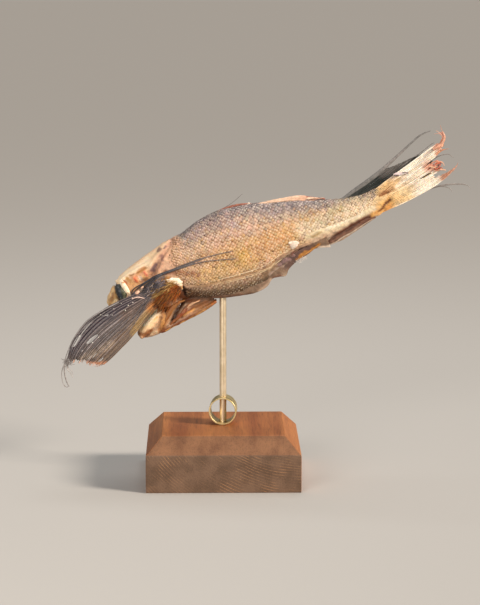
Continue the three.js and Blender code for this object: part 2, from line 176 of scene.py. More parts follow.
def new_material(name):
    """An empty material, its tree, its Principled shader, and the object's own coordinates."""
    material = bpy.data.materials.new(name)
    material.use_nodes = True
    tree = material.node_tree
    place = add(tree, "ShaderNodeTexCoord").outputs["Object"]
    return material, tree, tree.nodes["Principled BSDF"], place


def tinted(tree, place, mottle_mm, light, dark):
    """The piece's painted tint, varied between the shares light and dark by soft spots mottle_mm across."""
    spots = add(tree, "ShaderNodeTexNoise", inputs={
        "Vector": place, "Scale": 1 / (mottle_mm * MM), "Detail": 4, "Roughness": 0.6,
    })
    share = add(tree, "ShaderNodeMapRange", SMOOTH, {
        "Value": spots, "From Min": 0.3, "From Max": 0.7, "To Min": dark, "To Max": light,
    })
    tint = add(tree, "ShaderNodeAttribute", {"attribute_name": "tint"})
    return add(tree, "ShaderNodeVectorMath", {"operation": "SCALE"}, {0: tint, "Scale": share})


def grained(tree, place, grain_mm, detail, depth_mm):
    """Relief from soft lumps grain_mm across and depth_mm deep."""
    grain = add(tree, "ShaderNodeTexNoise", inputs={
        "Vector": place, "Scale": 1 / (grain_mm * MM), "Detail": detail,
    })
    return add(tree, "ShaderNodeBump", inputs={"Height": grain, "Distance": depth_mm * MM})


def smoked_skin():
    """Salted and smoked fish skin: leathery, finely wrinkled, and glossy where the oil has come out."""
    material, tree, shader, place = new_material("smoked_skin")
    wrinkles = add(tree, "ShaderNodeTexNoise", inputs={
        "Vector": place, "Scale": 1 / (1.0 * MM), "Detail": 5, "Roughness": 0.65,
    })
    dry = add(tree, "ShaderNodeMapRange", inputs={
        "Value": wrinkles, "From Min": 0.3, "From Max": 0.7, "To Min": 0.4, "To Max": 0.66,
    })
    oily = add(tree, "ShaderNodeAttribute", {"attribute_name": "oily"}).outputs["Fac"]
    rough = add(tree, "ShaderNodeMix", inputs={0: oily, 2: dry, 3: 0.2})
    # drawn tight over bone it has hardly any mottling or wrinkles
    tight = add(tree, "ShaderNodeAttribute", {"attribute_name": "tight"}).outputs["Fac"]
    tint = add(tree, "ShaderNodeAttribute", {"attribute_name": "tint"})
    mottled = tinted(tree, place, mottle_mm=2.0, light=1.16, dark=0.78)
    colour = add(tree, "ShaderNodeMix", COLOURS, {0: tight, 6: mottled, 7: tint})
    strength = add(tree, "ShaderNodeMapRange", inputs={"Value": tight, "To Min": 1.0, "To Max": 0.15})
    relief = add(tree, "ShaderNodeBump", inputs={
        "Height": wrinkles, "Distance": 0.35 * MM, "Strength": strength,
    })
    wire(tree, shader, {
        "Base Color": colour, "Roughness": rough, "Normal": relief, "IOR": 1.45,
        "Subsurface Weight": 0.06, "Subsurface Scale": 1.2 * MM, "Coat Weight": 0.1, "Coat Roughness": 0.25,
    })
    return material


def dried_scale():
    """A dried scale: horny and shiny, pale with a painted highlight at its free end, oil-stained ochre where
    it is sunk.
    """
    material, tree, shader, place = new_material("dried_scale")
    pale = tinted(tree, place, mottle_mm=1.3, light=1.12, dark=0.86)
    stain_and_shade = add(tree, "ShaderNodeAttribute", {"attribute_name": "stain_and_shade"})
    on_scale = add(tree, "ShaderNodeAttribute", {"attribute_name": "on_scale"}).outputs["Vector"]
    from_middle = add(tree, "ShaderNodeVectorMath", {"operation": "DISTANCE"}, {0: on_scale, 1: (0.3, 0, 0)})
    from_tip = add(tree, "ShaderNodeVectorMath", {"operation": "DISTANCE"}, {0: on_scale, 1: (0.5, 0, 0)})
    clean = add(tree, "ShaderNodeMapRange", SMOOTH, {
        "Value": from_middle, "From Min": 0.4, "From Max": 0.92, "To Min": 1.0, "To Max": 0.0,
    })
    # a painted highlight on the free ends, in patches only
    patch = add(tree, "ShaderNodeTexNoise", inputs={"Vector": place, "Scale": 1 / (3.5 * MM), "Detail": 3})
    highlight_patches = add(tree, "ShaderNodeMapRange", inputs={
        "Value": patch, "From Min": 0.42, "From Max": 0.62, "To Min": 0.08, "To Max": 0.55,
    })
    painted_highlight = add(tree, "ShaderNodeMapRange", SMOOTH, {
        "Value": from_tip, "From Min": 0.05, "From Max": 0.45, "To Min": highlight_patches, "To Max": 0.0,
    })
    face = add(tree, "ShaderNodeMix", COLOURS, {0: clean, 6: stain_and_shade, 7: pale})
    shown = add(tree, "ShaderNodeMix", COLOURS, {0: painted_highlight, 6: face, 7: srgb("#f6e6ca")})
    # growth rings, too fine to see as more than a broken shine
    phase = add(tree, "ShaderNodeMath", {"operation": "MULTIPLY"}, {0: from_middle, 1: 38.0})
    growth = add(tree, "ShaderNodeMath", {"operation": "SINE"}, {0: phase})
    relief = add(tree, "ShaderNodeBump", inputs={"Height": growth, "Distance": 0.02 * MM, "Strength": 0.5})
    wire(tree, shader, {
        "Base Color": shown, "Normal": relief, "Roughness": 0.4, "IOR": 1.5,
        "Coat Weight": 0.15, "Coat Roughness": 0.25,
    })
    return material


def fin_skin(name, rough, see_through):
    """Dried fin skin between the rays: parchment-like, thin enough to let some light through."""
    material, tree, shader, place = new_material(name)
    wire(tree, shader, {
        "Base Color": tinted(tree, place, mottle_mm=1.5, light=1.15, dark=0.82),
        "Normal": grained(tree, place, grain_mm=0.8, detail=3, depth_mm=0.2),
        "Roughness": rough, "IOR": 1.46, "Subsurface Weight": see_through, "Subsurface Scale": 2 * MM,
    })
    return material


def horny_ray():
    """A fin ray: a dry, horny bristle with a soft shine along it."""
    material, tree, shader, place = new_material("horny_ray")
    wire(tree, shader, {
        "Base Color": tinted(tree, place, mottle_mm=2.4, light=1.25, dark=0.75),
        "Roughness": 0.42, "IOR": 1.5, "Coat Weight": 0.1, "Coat Roughness": 0.3,
    })
    return material


def clouded_eye():
    """A dried eye: shrunken, a clouded satin film over slate and green."""
    material, tree, shader, place = new_material("clouded_eye")
    wire(tree, shader, {
        "Base Color": tinted(tree, place, mottle_mm=1.6, light=1.5, dark=0.55),
        "Normal": grained(tree, place, grain_mm=0.9, detail=4, depth_mm=0.3),
        "Roughness": 0.38, "IOR": 1.4, "Coat Weight": 0.25, "Coat Roughness": 0.2,
    })
    return material


def oiled_hardwood():
    """Oiled reddish hardwood, its fibres along Y: open grey-brown end grain with arcs, orange long faces."""
    ring_mm = 1.9
    material, tree, shader, place = new_material("oiled_hardwood")
    # year rings by the distance from the tree's heart, which lay above the block and to its right
    heart = add(tree, "ShaderNodeMapping", inputs={
        "Vector": place, "Location": (-0.060, 0, -0.118), "Scale": (1, 0, 1),
    })
    radius = add(tree, "ShaderNodeVectorMath", {"operation": "LENGTH"}, {0: heart})
    sway = add(tree, "ShaderNodeTexNoise", inputs={"Vector": place, "Scale": 1 / (40 * MM), "Detail": 2})
    bent = add(tree, "ShaderNodeMath", {"operation": "MULTIPLY_ADD"}, {0: sway, 1: 7 * MM, 2: radius})
    phase = add(tree, "ShaderNodeMath", {"operation": "DIVIDE"}, {0: bent, 1: ring_mm * MM})
    ring = add(tree, "ShaderNodeMath", {"operation": "PINGPONG"}, {0: phase, 1: 0.5})
    line = add(tree, "ShaderNodeMapRange", SMOOTH, {"Value": ring, "From Min": 0.4, "From Max": 0.49})
    # the rings show only here and there, and only on the sawn ends
    normal = add(tree, "ShaderNodeNewGeometry").outputs["Normal"]
    facing = add(tree, "ShaderNodeSeparateXYZ", inputs={"Vector": normal}).outputs["Y"]
    sawn = add(tree, "ShaderNodeMath", {"operation": "ABSOLUTE"}, {0: facing})
    end_grain = add(tree, "ShaderNodeMapRange", inputs={"Value": sawn, "From Min": 0.3, "From Max": 0.9})
    upright = add(tree, "ShaderNodeMapRange", inputs={"Value": sawn, "From Min": 0.75, "To Min": 0.03})
    small = add(tree, "ShaderNodeTexNoise", inputs={
        "Vector": place, "Scale": 1 / (5 * MM), "Detail": 4, "Roughness": 0.7,
    })
    broken = add(tree, "ShaderNodeMapRange", SMOOTH, {
        "Value": small, "From Min": 0.38, "From Max": 0.62, "To Min": 0.15,
    })
    large = add(tree, "ShaderNodeTexNoise", inputs={"Vector": place, "Scale": 1 / (26 * MM), "Detail": 2})
    clear = add(tree, "ShaderNodeMapRange", SMOOTH, {
        "Value": large, "From Min": 0.4, "From Max": 0.62, "To Min": 0.12, "To Max": 0.95,
    })
    for share in (broken, clear, end_grain, upright):
        line = add(tree, "ShaderNodeMath", {"operation": "MULTIPLY"}, {0: line, 1: share})
    # fibres, as long streaks on the long faces and as pores on the ends
    fibres = add(tree, "ShaderNodeMapping", inputs={"Vector": place, "Scale": (1, 0.05, 1)})
    fibre = add(tree, "ShaderNodeTexNoise", inputs={
        "Vector": fibres, "Scale": 1 / (0.9 * MM), "Detail": 4, "Roughness": 0.75,
    })
    pores = add(tree, "ShaderNodeMapRange", SMOOTH, {
        "Value": fibre, "From Min": 0.3, "From Max": 0.55, "To Min": 0.66, "To Max": 1.06,
    })
    cloud = add(tree, "ShaderNodeTexNoise", inputs={"Vector": fibres, "Scale": 1 / (12 * MM), "Detail": 4})
    clouds = add(tree, "ShaderNodeMapRange", SMOOTH, {"Value": cloud, "From Min": 0.3, "From Max": 0.7})
    # the faces that look along Y, the sawn ends, are painted darker and greyer, the long faces more orange
    long_face = add(tree, "ShaderNodeMix", COLOURS, {0: clouds, 6: srgb("#8a4f2a"), 7: srgb("#b0713f")})
    end_face = add(tree, "ShaderNodeMix", COLOURS, {0: clouds, 6: srgb("#5a412d"), 7: srgb("#715540")})
    ground = add(tree, "ShaderNodeMix", COLOURS, {0: end_grain, 6: long_face, 7: end_face})
    ringed = add(tree, "ShaderNodeMix", COLOURS, {0: line, 6: ground, 7: srgb("#c18a5c")})
    shown = add(tree, "ShaderNodeVectorMath", {"operation": "SCALE"}, {0: ringed, "Scale": pores})
    relief = add(tree, "ShaderNodeBump", inputs={"Height": fibre, "Distance": 0.25 * MM, "Strength": 0.6})
    wire(tree, shader, {"Base Color": shown, "Normal": relief, "Roughness": 0.52, "IOR": 1.5})
    return material


def drawn_brass(name, colour, worn, stretch, rough):
    """Drawn brass, satin from the die: fine lines along its length, with dull spots of tarnish."""
    material, tree, shader, place = new_material(name)
    drawn = add(tree, "ShaderNodeMapping", inputs={"Vector": place, "Scale": stretch})
    lines = add(tree, "ShaderNodeTexNoise", inputs={"Vector": drawn, "Scale": 1 / (0.4 * MM), "Detail": 2})
    satin = add(tree, "ShaderNodeMapRange", inputs={
        "Value": lines, "From Min": 0.3, "From Max": 0.7, "To Min": rough - 0.07, "To Max": rough + 0.07,
    })
    spots = add(tree, "ShaderNodeTexNoise", inputs={"Vector": place, "Scale": 1 / (5 * MM), "Detail": 4})
    tarnish = add(tree, "ShaderNodeMapRange", SMOOTH, {"Value": spots, "From Min": 0.35, "From Max": 0.65})
    metal = add(tree, "ShaderNodeMix", COLOURS, {0: tarnish, 6: srgb(colour), 7: srgb(worn)})
    relief = add(tree, "ShaderNodeBump", inputs={"Height": lines, "Distance": 0.03 * MM})
    wire(tree, shader, {"Base Color": metal, "Roughness": satin, "Normal": relief, "Metallic": 1.0})
    return material


def studio_floor():
    """Matt painted board, pale and even."""
    material, tree, shader, place = new_material("studio_floor")
    relief = grained(tree, place, grain_mm=3, detail=2, depth_mm=0.05)
    wire(tree, shader, {"Base Color": srgb("#bab7b2"), "Roughness": 0.85, "Normal": relief})
    return material


# ---------------------------------------------------------------- meshes
def new_object(name, points_mm, edges, faces):
    """A mesh object from points in mm, in the scene."""
    mesh = bpy.data.meshes.new(name)
    mesh.from_pydata((np.asarray(points_mm) * MM).tolist(), edges, [list(map(int, f)) for f in faces])
    mesh.update()
    made = bpy.data.objects.new(name, mesh)
    bpy.context.collection.objects.link(made)
    return made


def new_piece(name, points_mm, faces, material, tint=None, smooth=True):
    """A piece of the part from points in mm, with a colour for each point."""
    piece = new_object(name, points_mm, [], faces)
    if tint is not None:
        set_colour(piece.data, "tint", tint)
    set_smooth(piece.data, smooth)
    piece.data.materials.append(material)
    return settle(piece)


def set_smooth(mesh, smooth=True):
    """Shades every face smooth or flat."""
    mesh.polygons.foreach_set("use_smooth", [smooth] * len(mesh.polygons))


def set_colour(mesh, name, colours):
    """Stores linear colours, one for each point."""
    layer = mesh.color_attributes.new(name, "FLOAT_COLOR", "POINT")
    rgba = np.ones((len(mesh.vertices), 4), np.float32)
    rgba[:, :3] = np.clip(colours, 0.002, 1)
    layer.data.foreach_set("color", rgba.ravel())


def set_values(mesh, name, values):
    """Stores a number, or a row of three, for each point."""
    kind, key = ("FLOAT", "value") if values.ndim == 1 else ("FLOAT_VECTOR", "vector")
    mesh.attributes.new(name, kind, "POINT").data.foreach_set(key, values.astype(np.float32).ravel())


def settle(piece):
    """Has a piece ride on the part."""
    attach(piece, "root")
    return piece


def face_out(piece):
    """Turns a closed mesh's faces outwards."""
    bm = bmesh.new()
    bm.from_mesh(piece.data)
    bmesh.ops.recalc_face_normals(bm, faces=bm.faces)
    bm.to_mesh(piece.data)
    bm.free()


def thicken(sheet, thick_mm):
    """Gives a sheet its thickness, half to each side."""
    shell = sheet.modifiers.new("thickness", "SOLIDIFY")
    shell.thickness, shell.offset = thick_mm * MM, 0


def baked(piece):
    """Replaces the piece's mesh by what its modifiers make of it, and removes them."""
    graph = bpy.context.evaluated_depsgraph_get()
    mesh = bpy.data.meshes.new_from_object(piece.evaluated_get(graph))
    piece.modifiers.clear()
    old, piece.data = piece.data, mesh
    name = old.name
    bpy.data.meshes.remove(old)
    mesh.name = name
    return piece


# ---------------------------------------------------------------- curves and lofts
def softened(share):
    """A share from 0 to 1 that starts and ends gently."""
    return share * share * (3 - 2 * share)


def unit(rows):
    """Rows of x, y, z made one long."""
    return rows / np.linalg.norm(rows, axis=1, keepdims=True)


def once_round(count):
    """A count of even angles once round a circle."""
    return np.linspace(0, 2 * np.pi, count, endpoint=False)


def read_off(line, at):
    """Reads a line of (first, second) points: the second number where the first is at."""
    return np.interp(at, *np.array(line).T)


def spline(points):
    """A uniform Catmull-Rom curve through points, as a function of shares 0 to 1."""
    p = np.asarray(points, float)
    p = np.vstack([2 * p[0] - p[1], p, 2 * p[-1] - p[-2]])
    spans = len(p) - 3

    def at(shares):
        s = np.clip(np.asarray(shares, float), 0, 1) * spans
        i = np.minimum(s.astype(int), spans - 1)
        f = (s - i)[..., None]
        a, b, c, d = p[i], p[i + 1], p[i + 2], p[i + 3]
        cubic = (3 * b - a - 3 * c + d) * f**3
        return 0.5 * (2 * b + (c - a) * f + (2 * a - 5 * b + 4 * c - d) * f**2 + cubic)

    return at


def placed(points, y=0.0):
    """(x, z) or (x, z, y) points as rows of x, y, z."""
    return np.array([(p[0], p[2] if len(p) > 2 else y, p[1]) for p in points], float)


body_line = spline(SECTIONS)


def skin_at(t, angle):
    """Points of the skin: t from snout to tail, angle from the back (0) down the left flank."""
    row = body_line(t)
    back = np.stack([row[..., 0], np.zeros_like(t), row[..., 1]], -1)
    belly = np.stack([row[..., 2], np.zeros_like(t), row[..., 3]], -1)
    middle = (back + belly) / 2
    width = row[..., 4] * np.sin(angle) * (1 + BACK_FULLNESS * np.cos(angle))
    point = middle + (back - middle) * np.cos(angle)[..., None]
    point[..., 1] -= width
    return point


def flank_at(x, z):
    """How far the flank stands out from the middle plane at a point of the side view."""
    low, high = 0.0, 1.0
    for _ in range(24):
        t = (low + high) / 2
        bx, bz, ex, ez, _half = body_line(np.array([t]))[0]
        ahead = (bz - ez) * (x - ex) - (bx - ex) * (z - ez) > 0
        low, high = (t, high) if ahead else (low, t)
    bx, bz, ex, ez, half = body_line(np.array([low]))[0]
    height = np.clip(2 * math.hypot(x - ex, z - ez) / math.hypot(bx - ex, bz - ez) - 1, -1, 1)
    return half * math.sqrt(1 - height * height) * (1 + BACK_FULLNESS * height)


def over_flank(points, side, proud):
    """(x, z) points laid on a flank, proud mm out from the skin. side is -1 left and 1 right."""
    return [(x, z, side * (flank_at(x, z) + proud)) for x, z in points]


def along_flank(points, proud, count=40, side=-1):
    """A path over a flank through (x, z) points of the side view that the paint is laid out in."""
    path = []
    for x, z in spline(np.array(points, float))(np.linspace(0, 1, count)):
        raised = z + LEAN * (flank_at(x, z) + proud)
        path.append((x, side * (flank_at(x, raised) + proud), raised))
    return np.array(path)


def grid_faces(rows, columns, wrap):
    """Quads of a grid of rows by columns points. wrap joins the last column to the first."""
    across = columns if wrap else columns - 1
    i, j = np.meshgrid(np.arange(rows - 1), np.arange(across), indexing="ij")
    here, beside = i * columns + j, i * columns + (j + 1) % columns
    return np.stack([here, beside, beside + columns, here + columns], -1).reshape(-1, 4)


def loft(rings):
    """A closed mesh from an array of rings of points, as points and faces."""
    rows, columns = rings.shape[:2]
    faces = grid_faces(rows, columns, wrap=True).tolist()
    points = np.vstack([rings.reshape(-1, 3), rings[0].mean(0), rings[-1].mean(0)])
    first, last, start = rows * columns, rows * columns + 1, (rows - 1) * columns
    for j in range(columns):
        k = (j + 1) % columns
        faces.append([first, k, j])
        faces.append([last, start + j, start + k])
    return points, faces


def blade(points, wide, thick=None, y=0.0, along=24, around=16):
    """A flattened, tapering strand or lobe along a path. wide and thick are half sizes along it."""
    path = spline(placed(points, y))
    t = np.linspace(0, 1, along + 1)
    centre = path(t)
    ahead = unit(path(np.minimum(t + 0.01, 1)) - path(np.maximum(t - 0.01, 0)))
    across = unit(np.cross(ahead, (0, 1, 0)))
    lift = np.cross(across, ahead)
    half_wide = spline([(w,) for w in wide])(t)
    half_thick = spline([(w,) for w in (thick or wide)])(t)
    angle = once_round(around)
    rings = (centre[:, None] + across[:, None] * (half_wide * np.cos(angle))[..., None]
             + lift[:, None] * (half_thick * np.sin(angle))[..., None])
    return loft(rings)


def ball(centre, radii, tilt=0.0, segments=40, rows=24):
    """An egg of half sizes in x, y and z, leaning by tilt degrees towards -X, at (x, z, y)."""
    lat = np.linspace(0, np.pi, rows + 1)[1:-1, None]
    lon = once_round(segments)[None, :]
    rings = np.stack([np.sin(lat) * np.cos(lon), -np.cos(lat) + 0 * lon, np.sin(lat) * np.sin(lon)], -1)
    points, faces = loft(rings)
    points[-2:, 1] = -1, 1  # the two poles
    x, y, z = (points * radii).T
    cos, sin = math.cos(math.radians(tilt)), math.sin(math.radians(tilt))
    return np.stack([x * cos - z * sin, y, x * sin + z * cos], 1) + placed([centre])[0], faces


def joined(parts):
    """Several (points, faces) as one."""
    points, faces, start = [], [], 0
    for p, f in parts:
        points.append(p)
        faces.extend([[v + start for v in face] for face in f])
        start += len(p)
    return np.vstack(points), faces


# ---------------------------------------------------------------- paint
def wobble(points, size, seed=0):
    """Smooth noise from -1 to 1 at each point, with lumps of the given size in mm."""
    p = np.asarray(points, float) / size + seed * 17.31
    cell = np.floor(p).astype(np.int64)
    f = softened(p - cell)
    total = np.zeros(len(p))
    for corner in np.ndindex(2, 2, 2):
        c = cell + corner
        h = (c[:, 0] * 374761393 + c[:, 1] * 668265263 + c[:, 2] * 2147483647 + seed * 144269) & 0xFFFFFFFF
        h = (h ^ (h >> 13)) * 1274126177 & 0xFFFFFFFF
        value = ((h ^ (h >> 16)) & 0xFFFF) / 32767.5 - 1
        total += np.prod(np.where(corner, f, 1 - f), axis=1) * value
    return total


def shaken(points, size, seed, mm):
    """Points moved about by smooth noise."""
    return points + mm * np.stack([wobble(points, size, seed + k) for k in range(3)], 1)


def side_view(points):
    """Points in mm as (x, z) of the side view that the paint is laid out in."""
    return np.stack([points[:, 0], points[:, 2] - LEAN * np.abs(points[:, 1])], 1)


def distance_to(flat, path):
    """How far each (x, z) is from a polyline."""
    path = np.asarray(path, float)
    if len(path) == 1:
        return np.linalg.norm(flat - path[0], axis=1)
    best = np.full(len(flat), np.inf)
    for a, b in zip(path[:-1], path[1:]):
        ab = b - a
        s = np.clip(((flat - a) @ ab) / (ab @ ab), 0, 1)
        best = np.minimum(best, np.linalg.norm(flat - (a + s[:, None] * ab), axis=1))
    return best


def near(flat, path, reach):
    """1 on a path of (x, z), falling to 0 at its reach."""
    return softened(np.clip(1 - distance_to(flat, path) / reach, 0, 1))


def paint(points, base, strokes=(), ragged=1.0):
    """Linear colours at points in mm. A stroke is (colour, reach in mm, strength, path of (x, z))."""
    edges = np.stack([wobble(points, size=3, seed=1), wobble(points, size=3, seed=2)], 1)
    flat = side_view(points) + ragged * edges
    colour = np.tile(hue(base), (len(points), 1))
    for shade, reach, strength, path in strokes:
        # a stroke is full over its inner quarter
        share = strength * softened(np.clip(1.25 - distance_to(flat, path) / reach, 0, 1))[:, None]
        colour = colour * (1 - share) + hue(shade) * share
    return colour


def painter(base, strokes=(), strength=1.0):
    """The paint as a function of points, made darker or lighter by its strength."""
    return lambda points: strength * paint(points, base, strokes)


def picked(random, shades, odds=None):
    """One of the shades, at random."""
    return hue(str(random.choice(shades, p=odds)))


BACK_RIDGE = [(-31, 181), (-18, 190), (0, 198), (20, 202), (50, 204), (80, 206), (110, 212)]
# The skin's colours, each stroke in turn over the last. Some strokes are painted shade or painted highlights.
BODY_BASE = "#caa484"
BODY_STROKES = [
    # the back: grey mauve over the whole ridge, bluer towards its top
    ("#91847e", 18, 0.9, BACK_RIDGE),
    ("#8e817f", 8, 0.8, [(-27, 178), (-15, 187), (0, 194), (20, 197.5), (50, 199.5), (66, 200)]),
    ("#b89a90", 5, 0.6, [(-22, 176), (-10, 184), (6, 189)]),
    ("#a59382", 4, 0.6, [(26, 188), (44, 190), (60, 192)]),
    ("#9a8890", 3.4, 0.6, [(4, 184), (10, 182)]), ("#93868c", 3, 0.55, [(34, 192), (40, 193)]),
    # flank: golden middle, paler towards the tail
    ("#c29a68", 11, 0.85, [(2, 160), (22, 166), (42, 174), (66, 183)]),
    ("#c49a74", 5, 0.7, [(18, 166), (30, 168), (42, 172)]),
    ("#bd9a86", 5, 0.8, [(-10, 172), (8, 177), (24, 181)]),
    ("#c9963f", 5, 0.65, [(11, 157), (15, 163)]),
    ("#cba267", 8, 0.7, [(-14, 147), (6, 152), (18, 156)]),
    ("#e4d0b2", 9, 0.9, [(58, 180), (76, 186), (92, 192), (106, 198)]),
    ("#bba688", 5, 0.8, [(84, 200), (100, 203), (110, 208)]),
    ("#c9c08f", 3, 0.5, [(76, 193), (84, 195)]),
    # belly strip below the creases, and painted shade on the underside below it
    ("#4d3924", 9, 0.95, [(-22, 132), (-6, 132), (8, 134), (24, 140), (36, 148)]),
    ("#98795c", 4, 0.7, [(0, 141), (16, 144), (30, 149), (38, 155)]),
    ("#4e2e18", 5, 0.9, [(-28, 133), (-14, 131), (0, 130), (12, 131)]),
]
CREASE_STROKES = [
    # light folds with brown between them
    ("#a07a58", 1.8, 0.6, [(-12, 141), (8, 146.4), (20, 149.6), (30, 153.6), (40, 160.6), (50, 167)]),
    ("#e8d0ae", 1.2, 0.75, [(-12, 142.4), (8, 147.6), (20, 150.8), (30, 154.8), (40, 161.8), (48, 167.6)]),
    ("#d6b890", 0.7, 0.7, [(-6, 140.6), (10, 144.6), (22, 148), (32, 152.4), (41, 158.6), (48, 164)]),
    ("#c98f60", 1.2, 0.7, [(26, 156.6), (36, 161.4), (46, 167.6), (56, 171)]),
]
BARE_STROKES = [
    # the bare grey membrane, and the brown slit under the tail stem, darkened with painted shade
    ("#5c4139", 5, 0.95, [(42, 156), (50, 161), (60, 166), (70, 169)]),
    ("#8f7270", 1.6, 0.8, [(40, 155), (46, 158.6), (52, 161)]),
    ("#6d3a2c", 1.6, 0.7, [(50, 163), (55, 165)]),
    ("#b09786", 2, 0.8, [(34, 149), (42, 152.6), (50, 156.6)]),
    ("#c9ad92", 3, 0.8, [(66, 172.6), (74, 174), (82, 178)]),
    ("#9a8474", 2, 0.7, [(70, 170.4), (78, 173.6)]),
    # the cream ridge under the stem, with a painted highlight (the palest stroke) along its crest
    ("#e2cea8", 3.4, 0.8, [(60, 176.4), (72, 179.6), (84, 184), (96, 189), (106, 196)]),
    ("#a8854f", 1.3, 0.7, [(64, 176), (70, 178.6)]),
    ("#f4e6cc", 1.8, 0.7, [(74, 181.4), (88, 186.8), (100, 192.6)]),
    # the brown slit, darkened with painted shade
    ("#6a3a24", 3, 1.0, [(80, 174.4), (89, 180), (99, 186), (106, 189.4)]),
    ("#c9ae88", 4, 0.8, [(112, 198), (114, 205), (117, 210)]),
    ("#8b7f7c", 1.6, 0.7, [(106.4, 202.6), (109.4, 205.6)]),
    ("#8d8380", 1.8, 0.7, [(108, 207), (111, 201.4)]),
    ("#a06a3a", 1.1, 0.85, [(112.6, 205.6), (117, 207.6)]),
    ("#8a4a22", 1.5, 0.95, [(112, 194), (115.6, 199), (118, 201.6)]),
    ("#dda250", 3, 0.8, [(108, 191.4), (114, 193.6)]),
]
HEAD_STROKES = [
    ("#f6d0a6", 9, 1.0, [(-76, 143), (-66, 149), (-56, 156), (-46, 164), (-38, 170)]),
    ("#ffe4c0", 3.6, 0.85, [(-75, 143.6), (-66, 150), (-54, 158)]),
    ("#e9c8a0", 2, 0.6, [(-52, 161), (-42, 168.6)]),
    ("#cc9d64", 7, 1.0, [(-82, 127), (-79, 137)]),
    ("#dcb987", 1.5, 0.9, [(-82.6, 128), (-81.2, 134), (-78.4, 139.6)]),
    ("#8a5f38", 1.6, 0.8, [(-79.4, 133.6), (-79.8, 130)]),
    ("#f0d3a2", 1.8, 0.9, [(-76.6, 129.6), (-78.6, 126.4)]),
    # painted shade in the deep crease behind the snout plate
    ("#4a3a2c", 1.5, 0.95, [(-77.4, 142.2), (-76.2, 137), (-75, 132), (-73, 128)]),
    ("#e8ae74", 6, 0.95, [(-66, 140), (-58, 145), (-50, 148)]),
    ("#f4b286", 2.6, 0.8, [(-64, 146.6), (-57, 150.6)]),
    ("#d2633a", 1.7, 0.95, [(-63.4, 145), (-61.6, 143.4)]),
    ("#e08a5c", 1.0, 0.8, [(-62, 146.6), (-60.4, 145.8)]),
    ("#c65f42", 1.5, 0.9, [(-55.8, 149.4), (-54, 147.6)]),
    ("#b85f2c", 1.3, 0.9, [(-70.6, 143.4), (-69.4, 142.2)]),
    ("#b5762f", 1.8, 0.8, [(-60, 150), (-56, 152.4)]),
    ("#c98a3e", 1.3, 0.8, [(-68.4, 145.4), (-66.6, 144)]),
    ("#a5642c", 0.8, 0.8, [(-66.6, 147.6), (-63.6, 149.4)]),
    ("#f9dfc4", 1.2, 0.8, [(-59, 146.4), (-57.6, 144.6)]),
    ("#d8a050", 1.2, 0.8, [(-52.6, 150.4), (-51, 148.4)]),
    ("#8a5232", 1.6, 0.8, [(-58, 143.6), (-54, 145)]),
    # painted shadow under the gill cover's rear edge: a purple-brown band, darkest at its lower end, with
    # dark spots
    ("#b8866c", 4.5, 0.85, [(-36, 172), (-42, 163), (-47, 154), (-50, 149)]),
    ("#7e5a56", 1.2, 0.8, [(-45, 167), (-46.4, 165)]),
    ("#86605a", 1.1, 0.8, [(-41, 169), (-42, 167.6)]),
    ("#54383e", 2, 0.85, [(-50, 151.4), (-47.6, 154.6)]),
    ("#6d4a4a", 1.5, 0.7, [(-44, 161), (-43, 159)]),
    ("#d6a888", 6, 0.8, [(-33, 170), (-36, 160), (-38, 151)]),
    ("#8f5a3e", 2.6, 0.85, [(-41, 149.4), (-30, 149), (-18, 148)]),
]
THROAT_STROKES = [
    ("#7c400c", 8, 1.0, [(-48, 124), (-42, 130), (-36, 137)]),
    ("#9c4c08", 3, 0.9, [(-38.6, 135), (-35.6, 138.8)]),
    ("#a8742f", 3.4, 0.85, [(-48, 140), (-43, 143), (-39, 144)]),
    ("#c9a05c", 1.4, 0.8, [(-47.4, 141), (-44.4, 143.4)]),
    ("#795325", 4, 0.7, [(-54, 134), (-48, 137)]),
    # the cream throat lobe, with a painted highlight along it
    ("#fbd2a0", 6, 1.0, [(-58, 108), (-53, 114), (-48.6, 120)]),
    ("#fff2d8", 2.4, 0.9, [(-56, 112.4), (-51, 118), (-48, 121.4)]),
    ("#e39a3c", 1.0, 0.8, [(-49.6, 115.6), (-47.6, 117)]),
    ("#9f6734", 4.4, 0.95, [(-44, 109), (-42, 117), (-40, 123)]),
    ("#c28847", 2, 0.8, [(-43, 112), (-41.4, 119)]),
    # painted shade in the hollow between the throat's lobes
    ("#4c2008", 2.4, 0.95, [(-46, 124.6), (-39, 122)]),
    ("#884a16", 2.4, 0.9, [(-61, 105), (-56, 104), (-52, 107)]),
    ("#f6d2a6", 1.6, 0.9, [(-51, 105), (-48, 107)]),
    # painted shade: in the slit, on the underside in front of the belly, and nearly black in the hollow by
    # the gill bone
    ("#3b1a08", 3, 0.97, [(-35.6, 115), (-33.4, 121), (-29.4, 127.6)]),
    ("#572c0f", 4.4, 0.95, [(-31, 134), (-22, 130), (-12, 131), (-4, 131)]),
    ("#2c1006", 2.2, 0.95, [(-29, 138.6), (-25.6, 134)]),
    ("#6d3412", 2.6, 0.95, [(-43, 106.4), (-30, 113), (-16, 121), (-4, 128.6)]),
    ("#d9a05b", 0.8, 0.8, [(-41, 107), (-30, 112.4), (-18, 118.6), (-8, 124.6)]),
    ("#6b2e0e", 2.4, 0.9, [(-30, 118), (-20, 124), (-12, 128)]),
    ("#d99e5a", 1.1, 0.85, [(-28, 118.6), (-24, 120.8), (-20, 122.6)]),
    ("#d26e29", 1.1, 0.8, [(-8, 127), (-3.6, 130)]),
]
STEM_RIDGE = [(62, 177), (80, 182.5), (96, 189), (106, 196)]
STEM_SLIT = [(78, 172.8), (90, 179.6), (104, 187.6)]
